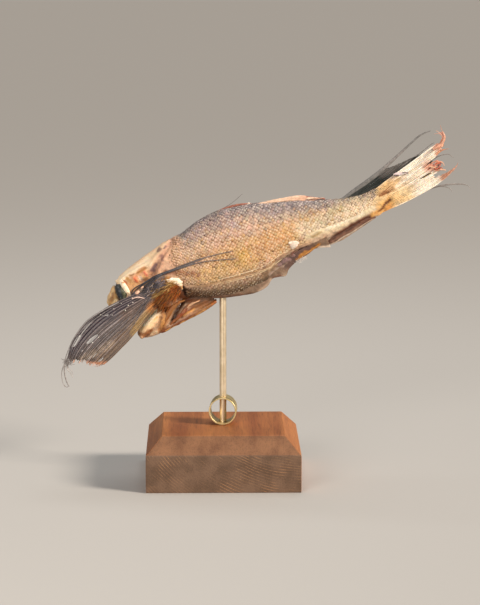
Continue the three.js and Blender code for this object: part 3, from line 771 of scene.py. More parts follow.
# Where oil has come out and the skin is glossy.
OILY = [
    (5, [(-57, 110), (-47, 121)]), (3, [(-38, 114), (-28, 130)]), (3, [(-72, 144), (-60, 152.6)]),
    (3, [(-38, 135), (-34, 139)]), (3, [(-40, 107), (-8, 126)]), (3, [(76, 181), (104, 194)]),
]
# Where it is drawn tight over bone or flesh, and smooth.
TIGHT = [
    (8, [(-76, 144), (-66, 150), (-56, 157), (-46, 165), (-40, 170)]), (5, [(-58, 108), (-47, 121)]),
]
# The colour of the skin between the scales, with painted shade under the belly.
STAIN_BASE = "#b07c48"
STAIN_AND_SHADE_STROKES = [
    ("#7f6e6a", 14, 0.9, BACK_RIDGE),
    ("#806050", 6, 0.6, [(-28, 168), (-10, 176), (10, 182), (40, 188)]),
    ("#c07a35", 6, 0.8, [(14, 162), (28, 167), (44, 173), (56, 179)]),
    ("#96751c", 5, 0.85, [(11, 155), (15, 164)]),
    ("#96602e", 6, 0.6, [(-4, 158), (8, 166)]),
    ("#6e5c38", 7, 0.85, [(-20, 144), (-8, 146), (8, 150)]),
    ("#b5854c", 10, 0.8, [(62, 184), (80, 189), (100, 197)]),
    ("#8d8062", 4, 0.6, [(78, 197), (100, 203)]),
    # painted shade on the belly's underside
    ("#4e3826", 8, 0.9, [(-24, 134), (0, 134), (24, 140), (40, 152)]),
]


def most(flat, places):
    """How much each (x, z) belongs to any of the places, which are (reach in mm, path)."""
    return np.max([near(flat, path, reach) for reach, path in places], axis=0)


def body_paint(points):
    """The skin's colours at points in mm, painted shade and highlights among them."""
    strokes = BODY_STROKES + CREASE_STROKES + BARE_STROKES + HEAD_STROKES + THROAT_STROKES
    return paint(points, BODY_BASE, strokes)


def stain_and_shade_paint(points):
    """The colours between the scales at points in mm, painted shade under the belly among them."""
    return paint(points, STAIN_BASE, STAIN_AND_SHADE_STROKES)


# ---------------------------------------------------------------- where the scales are
# Where scales begin behind the head, as (height, x), and the bare crease along the belly, as (x, height).
SCALES_BEGIN = [(128, -25), (136, -28), (150, -37), (165, -41), (174, -38), (178, -34), (186, -28)]
CREASE = [(-14, 140.4), (-10, 141.7), (10, 146.6), (20, 149.4), (30, 153), (40, 160.3), (49, 167), (56, 170),
          (66, 173), (78, 175), (120, 178)]


def scaled(flat):
    """1 where the skin bears scales in the side view, falling to 0 where it is bare."""
    x, z = flat.T
    begin = read_off(SCALES_BEGIN, z)
    above = z - read_off(CREASE, x)
    there = np.clip((x - begin) / 8, 0, 1) * np.clip((114 - x) / 10, 0, 1)
    there *= np.clip(np.abs(above + 0.9) / 1.2 - 0.7, 0, 1)
    there *= np.where(x > 27, np.clip(above, 0, 1), 1)
    # all of the stem's smooth underside is bare, from its ridge down
    ridge = read_off(STEM_RIDGE, x) + 1.2
    return there * np.where(x > 58, np.clip((z - ridge) / 1.2 + np.clip((66 - x) / 4, 0, 1), 0, 1), 1)


# ---------------------------------------------------------------- the fish's skin
def head_parts(side):
    """Jaw, gill cover and throat of one side: -1 left, 1 right."""
    return [
        blade(over_flank([(-76, 142.4), (-70, 145.8), (-61, 151), (-50, 157.8), (-41, 165.4), (-34.6, 172)],
                         side, -1.4),
              (0.3, 2.4, 3.2, 3.4, 3.2, 1.4), (0.6, 1.7, 2.1, 2.3, 2.2, 1.2), along=40),
        blade(over_flank([(-78.4, 139.4), (-79.4, 134.6), (-80, 129), (-79.4, 124.8)], side, -0.7),
              (1, 2, 2.4, 1.2), (0.8, 1.4, 1.5, 1)),
        blade(over_flank([(-69, 142), (-62, 146.4), (-54, 150.4), (-47, 155.6)], side, -1.4),
              (2, 3.6, 4, 2.4), (1.5, 2.3, 2.4, 1.6)),
        blade(over_flank([(-37, 169), (-43, 160), (-46, 150), (-43, 141)], side, 0),
              (1.2, 2.6, 3, 1.6), (0.8, 1.5, 1.7, 1.2)),
        blade(over_flank([(-48, 125), (-43, 131), (-38, 137.5), (-31, 143)], side, -1),
              (3, 6.5, 6, 2.4), (2.4, 4.2, 4, 1.8)),
        blade([(-60, 104.5), (-54, 111), (-47.5, 117.5), (-42, 124)], (2.2, 4.6, 4.8, 2), (2, 3.2, 3.4, 2),
              y=side * 6.6),
        blade([(-48, 107.5), (-45, 113), (-42, 118), (-39, 123)], (1.6, 3, 3.2, 1.4), (1.6, 2.6, 2.8, 1.4),
              y=side * 7.4),
        blade([(-43, 110.5), (-40, 118), (-35.6, 125), (-29, 131)], (1.2, 2.2, 2, 0.8), (1, 1.9, 1.8, 1),
              y=side * 7),
        blade([(-45, 107.6), (-30, 115.8), (-15, 123.2), (-4, 129.6)], (2, 2.3, 2.4, 1.4), (2, 2.2, 2, 1.2),
              y=side * 4.4),
    ]


def lower_head():
    """The lobes of the throat in the middle plane."""
    return [
        blade([(-61.5, 105.2), (-56, 107.4), (-46, 113), (-36, 119)], (1.6, 4.6, 6.6, 6), (3.5, 6.5, 8, 7.5),
              around=24),
        blade([(-40, 117.5), (-28, 123.4), (-16, 128.6), (-6, 132)], (5, 6.4, 5, 2.2), (7, 7, 5.4, 3),
              around=24),
    ]


def body_form():
    """The body through all its cross sections, as a closed form."""
    t, angle = np.broadcast_arrays(np.linspace(0, 1, 361)[:, None], once_round(120)[None, :])
    return loft(skin_at(t, angle))


def gut_slot():
    """The slot that gutting left along the belly, as a closed form to cut out."""
    t = np.linspace(0, 1, 65)
    back_x, back_z, belly_x, belly_z, _half = body_line(GUT["from"] + (GUT["to"] - GUT["from"]) * t).T
    belly = np.stack([belly_x, np.zeros_like(t), belly_z], 1)
    inward = unit(np.stack([back_x, np.zeros_like(t), back_z], 1) - belly)
    size = 0.3 + 0.7 * np.sin(np.pi * t)
    angle = once_round(20)
    depth = -GUT["sink"] + GUT["reach"] * size[:, None] * np.cos(angle)
    rings = belly[:, None] + inward[:, None] * depth[..., None]
    rings[..., 1] += GUT["half_width"] * size[:, None] * np.sin(angle)
    return loft(rings)


def cut_from(piece, form):
    """Cuts a closed form out of the piece."""
    points, faces = form
    cutter = new_object("cutter", points, [], faces)
    face_out(cutter)
    cut = piece.modifiers.new("cut", "BOOLEAN")
    cut.operation, cut.object, cut.solver = "DIFFERENCE", cutter, "MANIFOLD"
    baked(piece)
    bpy.data.objects.remove(cutter)


def remeshed(piece, voxel_mm, smoothing):
    """One even skin over everything that the piece holds."""
    grid = piece.modifiers.new("remesh", "REMESH")
    grid.mode, grid.voxel_size = "VOXEL", voxel_mm * MM
    soft = piece.modifiers.new("soft", "SMOOTH")
    soft.factor, soft.iterations = 0.5, smoothing
    return baked(piece)


def coordinates(mesh):
    """Points of a mesh in mm, and their normals."""
    n = len(mesh.vertices)
    points, normals = np.empty(3 * n, np.float32), np.empty(3 * n, np.float32)
    mesh.vertices.foreach_get("co", points)
    mesh.vertex_normals.foreach_get("vector", normals)
    return points.reshape(-1, 3).astype(float) / MM, normals.reshape(-1, 3).astype(float)


# Grooves (less) and ridges (more) of the dried skin: height in mm, reach in mm, path in the side view.
RELIEF = [
    # the deep crease behind the snout plate, and the notch at the forehead's corner
    (-1.8, 2.2, [(-77.2, 141.6), (-76.4, 137), (-75.4, 132), (-74, 128)]),
    (-1.4, 1.5, [(-78.4, 141.4), (-76.6, 141)]), (0.9, 1.6, [(-76.7, 143.8)]),
    (0.8, 4, [(-74, 147), (-64, 154), (-54, 161.6), (-44, 170)]), (1.7, 2.6, [(-37, 175.4), (-33, 177.6)]),
    (1.0, 2, [(-82, 124), (-79, 123)]), (1.0, 2.4, [(-58, 102), (-52, 102.6), (-46, 105)]),
    # gill cover: its edge stands over a groove
    (-1.1, 2.4, [(-36, 173), (-42, 163.5), (-47.5, 153), (-50, 148)]),
    (0.6, 2.2, [(-39, 173), (-46, 164), (-52, 154)]),
    (-0.8, 1.6, [(-70, 145.6), (-62, 150), (-54, 154)]),
    (0.5, 2.0, [(-64, 145.6), (-61, 143.4)]), (0.5, 1.8, [(-56.4, 149.6), (-54, 147.6)]),
    (-0.8, 1.3, [(-59.6, 147), (-58, 144.6)]), (-0.8, 1.4, [(-67, 144), (-65.6, 141.8)]),
    # hollows between the throat's lobes
    (-2.0, 2.6, [(-36, 114), (-33.6, 121), (-29.4, 127.6)]),
    (-1.4, 2.2, [(-46, 124.6), (-39, 122)]), (-1.8, 2.6, [(-29, 138), (-25.6, 134)]),
    (-1.0, 1.6, [(-52, 106.4), (-47, 112), (-45, 117)]), (-0.8, 1.6, [(-30, 117.4), (-18, 124), (-8, 129)]),
    # tail stem: the smooth ridge, and the slit under it
    (0.45, 5, STEM_RIDGE), (-0.9, 2.6, STEM_SLIT),
    # folds along the belly, and the wrinkled membrane
    (0.5, 1.3, [(-12, 142.4), (8, 147.6), (20, 150.8), (30, 154.8), (40, 161.8), (50, 168)]),
    (0.4, 1.1, [(-6, 140.6), (10, 144.6), (22, 148), (32, 152.4), (41, 158.6), (50, 165)]),
    (-0.7, 1.4, [(40, 157.4), (50, 163.4), (60, 168)]), (-0.6, 1.4, [(46, 155), (56, 161)]),
]


def carve_skin(points):
    """How far out, in mm, the dried skin stands at each point: ridges, pits and wrinkles."""
    flat = side_view(points)
    cover = scaled(flat)
    loose = (1 - cover) * (1 - 0.9 * most(flat, TIGHT))
    out = 0.35 * wobble(points, 4, 3) * loose + 0.2 * wobble(points, 1.8, 4) * (0.1 + 0.9 * loose)
    out -= 0.45 * cover
    # fibres of the dried muscle at the breast fin's root
    muscle = near(flat, [(-48, 126), (-36, 138)], 9)
    cos, sin = math.cos(0.9), math.sin(0.9)
    along = points @ np.array([[cos * 0.2, 0, sin], [0, 1, 0], [-sin * 0.2, 0, cos]])
    out += 0.6 * muscle * wobble(along, 1.0, 5)
    # the cheek is pitted, and the membrane puckered
    out += 0.4 * near(flat, [(-66, 141), (-52, 148)], 7) * wobble(points, 1.6, 6)
    out += 0.9 * near(flat, [(42, 156), (60, 165)], 8) * wobble(points * (0.4, 1, 1), 1.7, 8)
    out += 0.3 * near(flat, [(66, 173), (84, 180)], 6) * wobble(points, 1.7, 10)
    for height, reach, path in RELIEF:
        out += height * near(flat, path, reach)
    return out


def make_skin(material):
    """Body, head and throat as one skin, with its slot and eye sockets."""
    parts = [body_form()] + lower_head()
    for _hand, side in HANDS:
        parts += head_parts(side)
    points, faces = joined(parts)
    skin = new_piece("fish_skin", points, faces, material)
    face_out(skin)
    remeshed(skin, voxel_mm=0.7, smoothing=3)
    cut_from(skin, gut_slot())
    for _hand, side in HANDS:
        cut_from(skin, ball((EYE["x"], EYE["z"], side * EYE["socket_y"]), EYE["socket"], EYE["tilt"]))
    remeshed(skin, voxel_mm=0.64, smoothing=1)
    points, normals = coordinates(skin.data)
    moved = points + normals * carve_skin(points)[:, None]
    skin.data.vertices.foreach_set("co", (moved * MM).astype(np.float32).ravel())
    skin.data.update()
    flat = side_view(moved)
    share = scaled(flat)[:, None]
    bare = body_paint(moved)
    between = 0.45 * bare + 0.45 * stain_and_shade_paint(moved)
    set_colour(skin.data, "tint", bare * (1 - share) + between * share)
    set_values(skin.data, "oily", most(flat, OILY))
    set_values(skin.data, "tight", most(flat, TIGHT))
    set_smooth(skin.data)
    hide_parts("smoked_fish")


# ---------------------------------------------------------------- geometry node trees
def node_tree(name, inputs):
    """A Geometry Nodes tree with a geometry input and output and named inputs, and its two end nodes."""
    tree = bpy.data.node_groups.new(name, "GeometryNodeTree")
    tree.interface.new_socket("Geometry", in_out="INPUT", socket_type="NodeSocketGeometry")
    for label, kind in inputs:
        tree.interface.new_socket(label, in_out="INPUT", socket_type=kind)
    tree.interface.new_socket("Geometry", in_out="OUTPUT", socket_type="NodeSocketGeometry")
    return tree, add(tree, "NodeGroupInput"), add(tree, "NodeGroupOutput")


def end_tree(tree, shape, source, result):
    """Ends a tree: smooth shading, real geometry and its material."""
    smooth = add(tree, "GeometryNodeSetShadeSmooth", inputs={"Geometry": shape})
    real = add(tree, "GeometryNodeRealizeInstances", inputs={"Geometry": smooth})
    material = source.outputs["Material"]
    done = add(tree, "GeometryNodeSetMaterial", inputs={"Geometry": real, "Material": material})
    wire(tree, result, {"Geometry": done})
    return tree


def strand_tree():
    """Turns each line of edges into a tube. The point attribute "radius" says how thick it is."""
    tree, source, result = node_tree("strands", [
        ("Sides", "NodeSocketInt"), ("Material", "NodeSocketMaterial"),
    ])
    line = add(tree, "GeometryNodeMeshToCurve", inputs={"Mesh": source.outputs["Geometry"]})
    ring = add(tree, "GeometryNodeCurvePrimitiveCircle", inputs={
        "Resolution": source.outputs["Sides"], "Radius": 1.0,
    })
    radius = add(tree, "GeometryNodeInputNamedAttribute", {"data_type": "FLOAT"}, {"Name": "radius"})
    tube = add(tree, "GeometryNodeCurveToMesh", inputs={
        "Curve": line, "Profile Curve": ring, "Scale": radius, "Fill Caps": True,
    })
    return end_tree(tree, tube, source, result)


def scale_tree():
    """Sets a scale on every point: a flattened ball, so that it closes, turned and sized by attributes.

    "on_scale" keeps the place on it: x towards the tail and y across, both from -1 to 1.
    """
    tree, source, result = node_tree("scales", [
        ("Segments", "NodeSocketInt"), ("Rings", "NodeSocketInt"), ("Material", "NodeSocketMaterial"),
    ])
    lens = add(tree, "GeometryNodeMeshUVSphere", inputs={
        "Segments": source.outputs["Segments"], "Rings": source.outputs["Rings"], "Radius": 1.0,
    })
    place = add(tree, "GeometryNodeInputPosition")
    flat = add(tree, "ShaderNodeVectorMath", {"operation": "MULTIPLY"}, {0: place, 1: (1, 1, 0)})
    marked = add(tree, "GeometryNodeStoreNamedAttribute", {"data_type": "FLOAT_VECTOR", "domain": "POINT"}, {
        "Geometry": lens, "Name": "on_scale", "Value": flat,
    })
    turn = add(tree, "GeometryNodeInputNamedAttribute", {"data_type": "FLOAT_VECTOR"}, {"Name": "turn"})
    rotation = add(tree, "FunctionNodeEulerToRotation", inputs={"Euler": turn})
    size = add(tree, "GeometryNodeInputNamedAttribute", {"data_type": "FLOAT_VECTOR"}, {"Name": "size"})
    spread = add(tree, "GeometryNodeInstanceOnPoints", inputs={
        "Points": source.outputs["Geometry"], "Instance": marked, "Rotation": rotation, "Scale": size,
    })
    return end_tree(tree, spread, source, result)


def grown(name, points, edges, attributes, tints, tree, values):
    """A piece that a tree grows from points in mm with attributes and colours."""
    piece = new_object(name, points, edges, [])
    for label, rows in attributes.items():
        set_values(piece.data, label, rows)
    for label, colours in tints.items():
        set_colour(piece.data, label, colours)
    modifier = piece.modifiers.new(tree.name, "NODES")
    modifier.node_group = tree
    sockets = {s.name: s.identifier for s in tree.interface.items_tree if s.in_out == "INPUT"}
    for label, value in values.items():
        modifier[sockets[label]] = value
    return settle(baked(piece))


def strands(name, lines, material, tree, sides=6):
    """A piece of tubes. Each line is (points in mm as x y z rows, radii in mm, colours)."""
    edges, start = [], 0
    for path, _radius, _tint in lines:
        edges += [(start + i, start + i + 1) for i in range(len(path) - 1)]
        start += len(path)
    radii = np.concatenate([np.broadcast_to(radius, len(path)) for path, radius, _tint in lines])
    tints = np.vstack([np.broadcast_to(tint, (len(path), 3)) for path, _radius, tint in lines])
    points = np.vstack([path for path, _radius, _tint in lines])
    return grown(name, points, edges, {"radius": radii * MM}, {"tint": tints}, tree,
                 {"Sides": sides, "Material": material})


def strand(path, radii, colour, y=0.0, count=20):
    """A strand in one colour along (x, z) or (x, z, y) points, its radii spread evenly along it."""
    share = np.linspace(0, 1, count)
    return spline(placed(path, y))(share), np.interp(share, np.linspace(0, 1, len(radii)), radii), hue(colour)


def bristle(start, reach, bow, radius, colour, count=8):
    """A short hair from start by reach, bowed sideways and thinner at its ends."""
    s = np.linspace(0, 1, count)[:, None]
    path = np.array(start) + np.array(reach) * s + np.array(bow) * 4 * s * (1 - s)
    return path, radius * (1 - 0.6 * np.abs(2 * s[:, 0] - 1)), colour


# ---------------------------------------------------------------- scales
# Spacing along and across the fish, and a scale's half length, half width and half thickness.
SCALE = {"pitch": 3.05, "row": 1.52, "length": 1.95, "width": 1.76, "thick": 0.2}
# Degrees by which its free end stands off the skin, and how unevenly scales are tilted, turned and sized.
LAY = {"tilt": 11.5, "tilt_spread": 3.6, "turn_spread": 11, "size_spread": 0.1}


def scale_layout(side, random):
    """Places, ways to the tail and out, and fineness of one flank's scales, in rows staggered along it."""
    steps_along, steps_round, nudge = 1201, 181, 1e-3
    t = np.linspace(0, 1, steps_along)
    row = body_line(t)
    middle = np.stack([(row[:, 0] + row[:, 2]) / 2, (row[:, 1] + row[:, 3]) / 2], 1)
    step = np.linalg.norm(np.diff(middle, axis=0), axis=1)
    # scales are smaller behind the head and on the tail stem
    fineness = np.interp(middle[:, 0], [-42, -26, -6, 20, 60, 96, 112], [0.56, 0.7, 0.88, 1, 0.92, 0.76, 0.5])
    along = np.concatenate([[0], np.cumsum(step / fineness[:-1])])
    angles = np.linspace(0.02, np.pi - 0.02, steps_round)
    found = []
    for column in range(int(along[-1] / (SCALE["pitch"] / 2))):
        at = np.interp(column * SCALE["pitch"] / 2, along, t)
        fine = np.interp(at, t, fineness)
        ring = skin_at(np.full(steps_round, at), angles)
        arc = np.concatenate([[0], np.cumsum(np.linalg.norm(np.diff(ring, axis=0), axis=1))])
        arc -= arc[steps_round // 2]
        pitch, shift = SCALE["row"] * 2 * fine, (column % 2) * 0.5
        for k in range(math.ceil(arc[0] / pitch - shift), math.floor(arc[-1] / pitch - shift) + 1):
            found.append((at, np.interp((k + shift) * pitch, arc, angles), fine))
    at, angle, fine = np.array(found).T
    here = skin_at(at, angle)
    ahead = skin_at(np.minimum(at + nudge, 1), angle) - skin_at(np.maximum(at - nudge, 0), angle)
    down = skin_at(at, angle + nudge) - skin_at(at, angle - nudge)
    out = np.cross(down, ahead)
    for v in (here, ahead, out):
        v[:, 1] *= -side
    out = unit(out)
    ahead = unit(ahead - out * (ahead * out).sum(1, keepdims=True))
    keep = scaled(side_view(here)) > random.uniform(0.03, 0.7, len(here))
    return here[keep], ahead[keep], out[keep], fine[keep]


def make_scales(name, side, material, tree):
    """One flank's scales: each turned, tilted, sized and coloured a little differently."""
    random = np.random.default_rng(SEED + side)
    here, ahead, out, fine = scale_layout(side, random)
    count, flat = len(here), side_view(here)
    # how low on the belly and how high on the back each scale is
    low = np.clip((read_off(CREASE, flat[:, 0]) - flat[:, 1]) / 3, 0, 1)
    back = np.clip((flat[:, 1] - np.interp(flat[:, 0], [-35, 0, 40, 110], [172, 182, 189, 200])) / 6, 0, 1)
    spin = np.radians(random.normal(0, LAY["turn_spread"], count))[:, None]
    tilt = np.radians(random.normal(LAY["tilt"], LAY["tilt_spread"], count) * (1 - 0.45 * low))[:, None]
    across = np.cross(out, ahead)
    ahead, across = ahead * np.cos(spin) + across * np.sin(spin), across * np.cos(spin) - ahead * np.sin(spin)
    ahead, out = ahead * np.cos(tilt) + out * np.sin(tilt), out * np.cos(tilt) - ahead * np.sin(tilt)
    turns = np.array([Matrix(np.stack(rows, 1).tolist()).to_euler() for rows in zip(ahead, across, out)])
    half = np.array([SCALE["length"], SCALE["width"], SCALE["thick"]])
    uneven = random.normal(1, LAY["size_spread"], (count, 1))
    size = half * fine[:, None] * uneven * (0.55 + 0.45 * scaled(flat)[:, None])
    patch = (1 + 0.16 * wobble(here, 9, 81) + 0.1 * wobble(here, 4, 82))[:, None]
    tint = paint(here, BODY_BASE, BODY_STROKES + HEAD_STROKES) * patch
    tint = tint * random.normal(1, 0.12, (count, 1)) * random.normal(1, 0.03, (count, 3))
    # every few scales one has yellowed
    yellowed = np.clip(random.normal(-0.2, 0.4, (count, 1)), 0, 0.6)
    yellowed = yellowed * (1 - 0.6 * back - 0.7 * low * (1 - back))[:, None]
    tint = tint * (1 - yellowed) + hue("#c8964e") * yellowed
    stain_and_shade = stain_and_shade_paint(here) * patch * random.normal(1, 0.22, (count, 1))
    stain_and_shade = stain_and_shade * random.normal(1, 0.06, (count, 3))
    soaked = np.clip(0.55 + 0.6 * wobble(here, 5, 83), 0.1, 0.95)[:, None]
    soaked *= 1 - 0.5 * low[:, None]
    stain_and_shade = 0.76 * tint * (1 - soaked) + 0.95 * stain_and_shade * soaked
    here = here + random.normal(0, 0.22, (count, 1)) * ahead + random.normal(0, 0.18, (count, 1)) * across
    # mauve streaks down the back, and slate spots thick over it
    streaks = np.clip(wobble(here * (1, 1, 0.35), 2.6, 84), 0, 1) * back
    tint = tint * (1 - streaks[:, None] * (0.18, 0.26, 0.18))
    spotted = (random.random(count) < 0.28 * back + 0.006)[:, None]
    tint = np.where(spotted, tint * 0.5 + 0.3 * hue("#5d5b68"), tint)
    stain_and_shade = np.where(random.random((count, 1)) < 0.05 + 0.3 * back[:, None], stain_and_shade * 0.45, stain_and_shade)
    grown(name, here, [], {"turn": turns, "size": size * MM}, {"tint": tint, "stain_and_shade": stain_and_shade}, tree,
          {"Segments": 12, "Rings": 4, "Material": material})


# ---------------------------------------------------------------- fins
def carved(name, parts, material, base, strokes=(), rough=0.18, lump=2.0):
    """A small piece joined from closed parts, its surface broken up by soft noise, and painted."""
    points, faces = joined(parts)
    points = shaken(points, size=lump, seed=SEED, mm=rough)
    face_out(new_piece(name, points, faces, material, paint(points, base, strokes)))


def fin_point(shape, u, w):
    """Points of a fin's sheet: u across it and w from its root (0) to its tips (1)."""
    root, bend, tips = (spline(placed(shape[part]))(u) for part in ("root", "bend", "tips"))
    w = np.asarray(w)[..., None]
    return (1 - w) ** 2 * root + 2 * w * (1 - w) * bend + w**2 * tips


def fin_sheet(name, shape, size, ragged, pleats, pleat_mm, tears, strokes, base, material, thick_mm, seed):
    """A fin's pleated skin with a ragged edge and tears. A tear is (half width in mm, path of (x, z))."""
    columns, rows = size
    u, v = np.meshgrid(np.linspace(0, 1, columns), np.linspace(0, 1, rows), indexing="ij")
    random = np.random.default_rng(seed)
    teeth = np.interp(u[:, 0] * pleats, np.arange(pleats + 2), random.random(pleats + 2))
    reach = 1 - ragged * (0.65 * teeth + 0.35 * random.random(columns))
    grid = fin_point(shape, u, v * reach[:, None])
    grid[..., 1] += pleat_mm * np.cos(2 * np.pi * pleats * u) * np.minimum(1, 4 * v)
    points = shaken(grid.reshape(-1, 3), size=9, seed=seed, mm=0.25)
    faces = grid_faces(columns, rows, wrap=False)
    centre = points[faces].mean(1)
    flat = side_view(centre)
    whole = np.ones(len(faces), bool)
    for half, path in tears:
        length = np.linalg.norm(np.subtract(path[0], path[-1]))
        ends = 0.2 + 0.8 * near(flat, [tuple(np.mean(path, 0))], length)
        whole &= distance_to(flat, path) > half * ends + 0.2 * wobble(centre, 0.8, 9)
    used, index = np.unique(faces[whole], return_inverse=True)
    points = points[used]
    sheet = new_piece(name, points, index.reshape(-1, 4), material, paint(points, base, strokes))
    thicken(sheet, thick_mm)


def fin_rays(shape, shares, radii, shade, seed, y_out=-0.2, overrun=0.03, wander=0.012, count=36):
    """Rays over a fin, one for each share across it. They wander, and differ in thickness and length."""
    random = np.random.default_rng(seed)
    v = np.linspace(0, 1, count)
    lines = []
    for u in shares:
        across = np.clip(u + wander * random.normal() * v, 0, 1)
        path = fin_point(shape, across, v * (1 + overrun * random.uniform(-2, 1)))
        path[:, 1] += y_out
        thick = np.interp(v, np.linspace(0, 1, len(radii)), radii) * random.uniform(0.75, 1.25)
        lines.append((shaken(path, size=8, seed=seed, mm=0.15), thick, shade(path) * random.normal(1, 0.12)))
    return lines


TAIL = {
    "root": [(108.4, 209), (109.2, 205), (110.4, 198.6), (111.4, 191.8)],
    "bend": [(133.8, 229.2), (136, 221), (128, 213.5), (131, 210), (137, 208.4), (158, 210.8)],
    "tips": [(153.2, 242.6), (156.6, 240), (152, 233), (145.4, 228.6), (150, 228.4), (157, 225),
             (150.6, 219.8), (158, 220.6), (167.2, 226.4)],
}
TAIL_STROKES = [
    ("#f2cf96", 8, 0.8, [(118, 199), (126, 205), (130, 206)]),
    ("#e2ae62", 6.5, 0.9, [(109, 192), (114, 196), (118, 199)]),
    ("#cf8f4c", 2.6, 0.8, [(108, 191), (114, 193), (119, 196.6)]),
    ("#e8c07a", 4, 0.7, [(110, 208), (118, 214)]),
    ("#c0966a", 2.0, 0.7, [(112, 205.4), (116.6, 207.6), (121.6, 210.4)]),
    ("#99683f", 0.9, 0.7, [(113, 206), (117, 208)]),
    ("#693619", 1.4, 0.95, [(111.6, 193.6), (115, 197.6), (119.6, 201.6)]),
    ("#d9ae7c", 7, 0.5, [(112, 212), (122, 216)]),
    ("#e0a286", 4.5, 0.9, [(146, 226), (154, 227), (160, 225)]),
    ("#c87c64", 2, 0.85, [(153, 230), (158, 227)]),
    ("#c98a6c", 4.2, 0.9, [(158, 218.6), (167, 226)]),
    ("#c9866a", 4.6, 0.95, [(153.6, 240), (157, 246), (155, 250)]),
    ("#a5553f", 1.4, 0.8, [(156.4, 243), (156.8, 247)]),
    ("#c97a4e", 1.6, 0.85, [(153, 234), (160, 238.6)]),
    ("#998d8a", 1.6, 0.6, [(118, 219.6), (122, 218)]),
    ("#8d8482", 1.3, 0.6, [(144, 233), (150, 238), (154, 241)]),
]
TAIL_TEARS = [
    (0.9, [(141, 224.1), (147.6, 228.6)]), (0.8, [(140.4, 217), (148.3, 221)]),
    (1.0, [(151.2, 217.6), (157, 220.8), (163, 224)]), (0.35, [(146, 233), (152, 236.4)]),
]
# The curled tips and frayed ends of the tail fin: path, radii and colour.
TAIL_WISPS = [
    ([(150, 238), (154.6, 241), (157.2, 244.4), (157.8, 247.6), (156.4, 251)], (1.1, 1.3, 1.2, 0.9, 0.4),
     "#d69c80"),
    ([(152, 240.6), (155, 242.4), (157, 245.4), (157, 248.4), (155, 250.4)], (0.4, 0.7, 0.6, 0.3),
     "#c9745a"),
    ([(154.6, 240.4), (157.2, 245), (156.6, 249.4), (154.8, 255.4)], (0.5, 0.12), "#cf9072"),
    ([(154, 241), (156.6, 245.4), (155.4, 249), (151.8, 251.6)], (0.4, 0.12), "#dca081"),
    ([(155, 243), (156.4, 247), (153.8, 249.4), (150.6, 249)], (0.35, 0.12), "#d2937a"),
    ([(156, 240), (157.4, 244.6), (157, 248), (154.6, 250.6)], (0.8, 0.12), "#e0aa8b"),
    ([(164, 222.4), (166.6, 225.6), (167.9, 228.6)], (0.55, 0.12), "#b98a76"),
    ([(152, 234), (156.5, 237.4), (161, 238.6)], (0.5, 0.12), "#cf8450"),
    ([(151, 235), (155, 237.6), (158, 238)], (0.35, 0.12), "#c16d43"),
]


def make_tail(skin_material, ray_material, tree):
    """The torn tail fin, its rays, which begin on the stem, and its curled and frayed tips."""
    fin_sheet("tail_fin", TAIL, size=(220, 90), ragged=0.06, pleats=26, pleat_mm=0.35, tears=TAIL_TEARS,
              strokes=TAIL_STROKES, base="#f6e6d2", material=skin_material, thick_mm=0.5, seed=3)
    light, dark = painter("#fdf0df", TAIL_STROKES), painter("#dfc09a", TAIL_STROKES, 0.8)
    lines = []
    for side in (-1, 1):
        lines += fin_rays(TAIL, np.linspace(0.01, 0.99, 30), (0.42, 0.32, 0.15), light, seed=4,
                          y_out=side * 0.28)
        lines += fin_rays(TAIL, np.linspace(0.03, 0.97, 29), (0.26, 0.22, 0.12), dark, seed=5,
                          y_out=side * 0.3)
        # the rays' roots, which spread out over the end of the stem
        for u in np.linspace(0.04, 0.96, 22):
            start = np.array((107 + 1.5 * math.sin(9 * u), 0, 207.6 - 16 * u))
            share = np.linspace(0, 1, 18)
            path = start + (fin_point(TAIL, u, 0.36) - start) * share[:, None]
            path[:, 1] = [side * (max(flank_at(x, z), 0.5) + 0.1) for x, z in path[:, (0, 2)]]
            path[:, 1] *= np.interp(share, [0, 0.1, 0.8, 1], [0.96, 1, 1, 0.6])
            radii = np.interp(share, [0, 0.3, 1], [0.12, 0.36, 0.3])
            lines.append((path, radii, paint(path, "#e2c596", TAIL_STROKES)))
    lines += [strand(*wisp, count=16) for wisp in TAIL_WISPS]
    for side in (-1, 1):
        for rise in (-0.6, 0.6, 2.2, 4.4):
            path = over_flank([(111.4, 204.6 + 0.2 * rise), (116, 206.6 + 0.5 * rise),
                               (121.6, 209.4 + rise)], side, 0.5)
            lines.append(strand(path, (0.12, 0.32, 0.1), "#8f5c36", count=10))
    random = np.random.default_rng(6)
    for _ in range(HAIRS["tail"]):
        start = (random.uniform(145, 152), random.uniform(-0.4, 0.4), random.uniform(222, 228))
        reach = (random.uniform(3, 8), random.uniform(-1.5, 1.5), random.uniform(-2, 4.6))
        colour = picked(random, ["#e0967a", "#c4664c", "#efc6a2", "#e2ac8c", "#8e3f2f"])
        lines.append(bristle(start, reach, random.normal(0, 1.1, 3), random.uniform(0.3, 0.7), colour))
    strands("tail_rays", lines, ray_material, tree)
    chip = blade([(121.6, 220.4), (124, 220.2), (128, 221), (132, 221.4)], (0.5, 1.5, 1.1, 0.5),
                 (0.7, 0.9, 0.8, 0.6), y=-1.0)
    carved("tail_chip", [chip], skin_material, "#dccac6", [
        ("#4e3c3c", 0.7, 0.95, [(121.6, 219.6), (123.4, 218.9), (125.4, 218.9)]),
        ("#4e3c3c", 0.7, 0.95, [(128.8, 221.4), (131.8, 221.2)]),
    ])


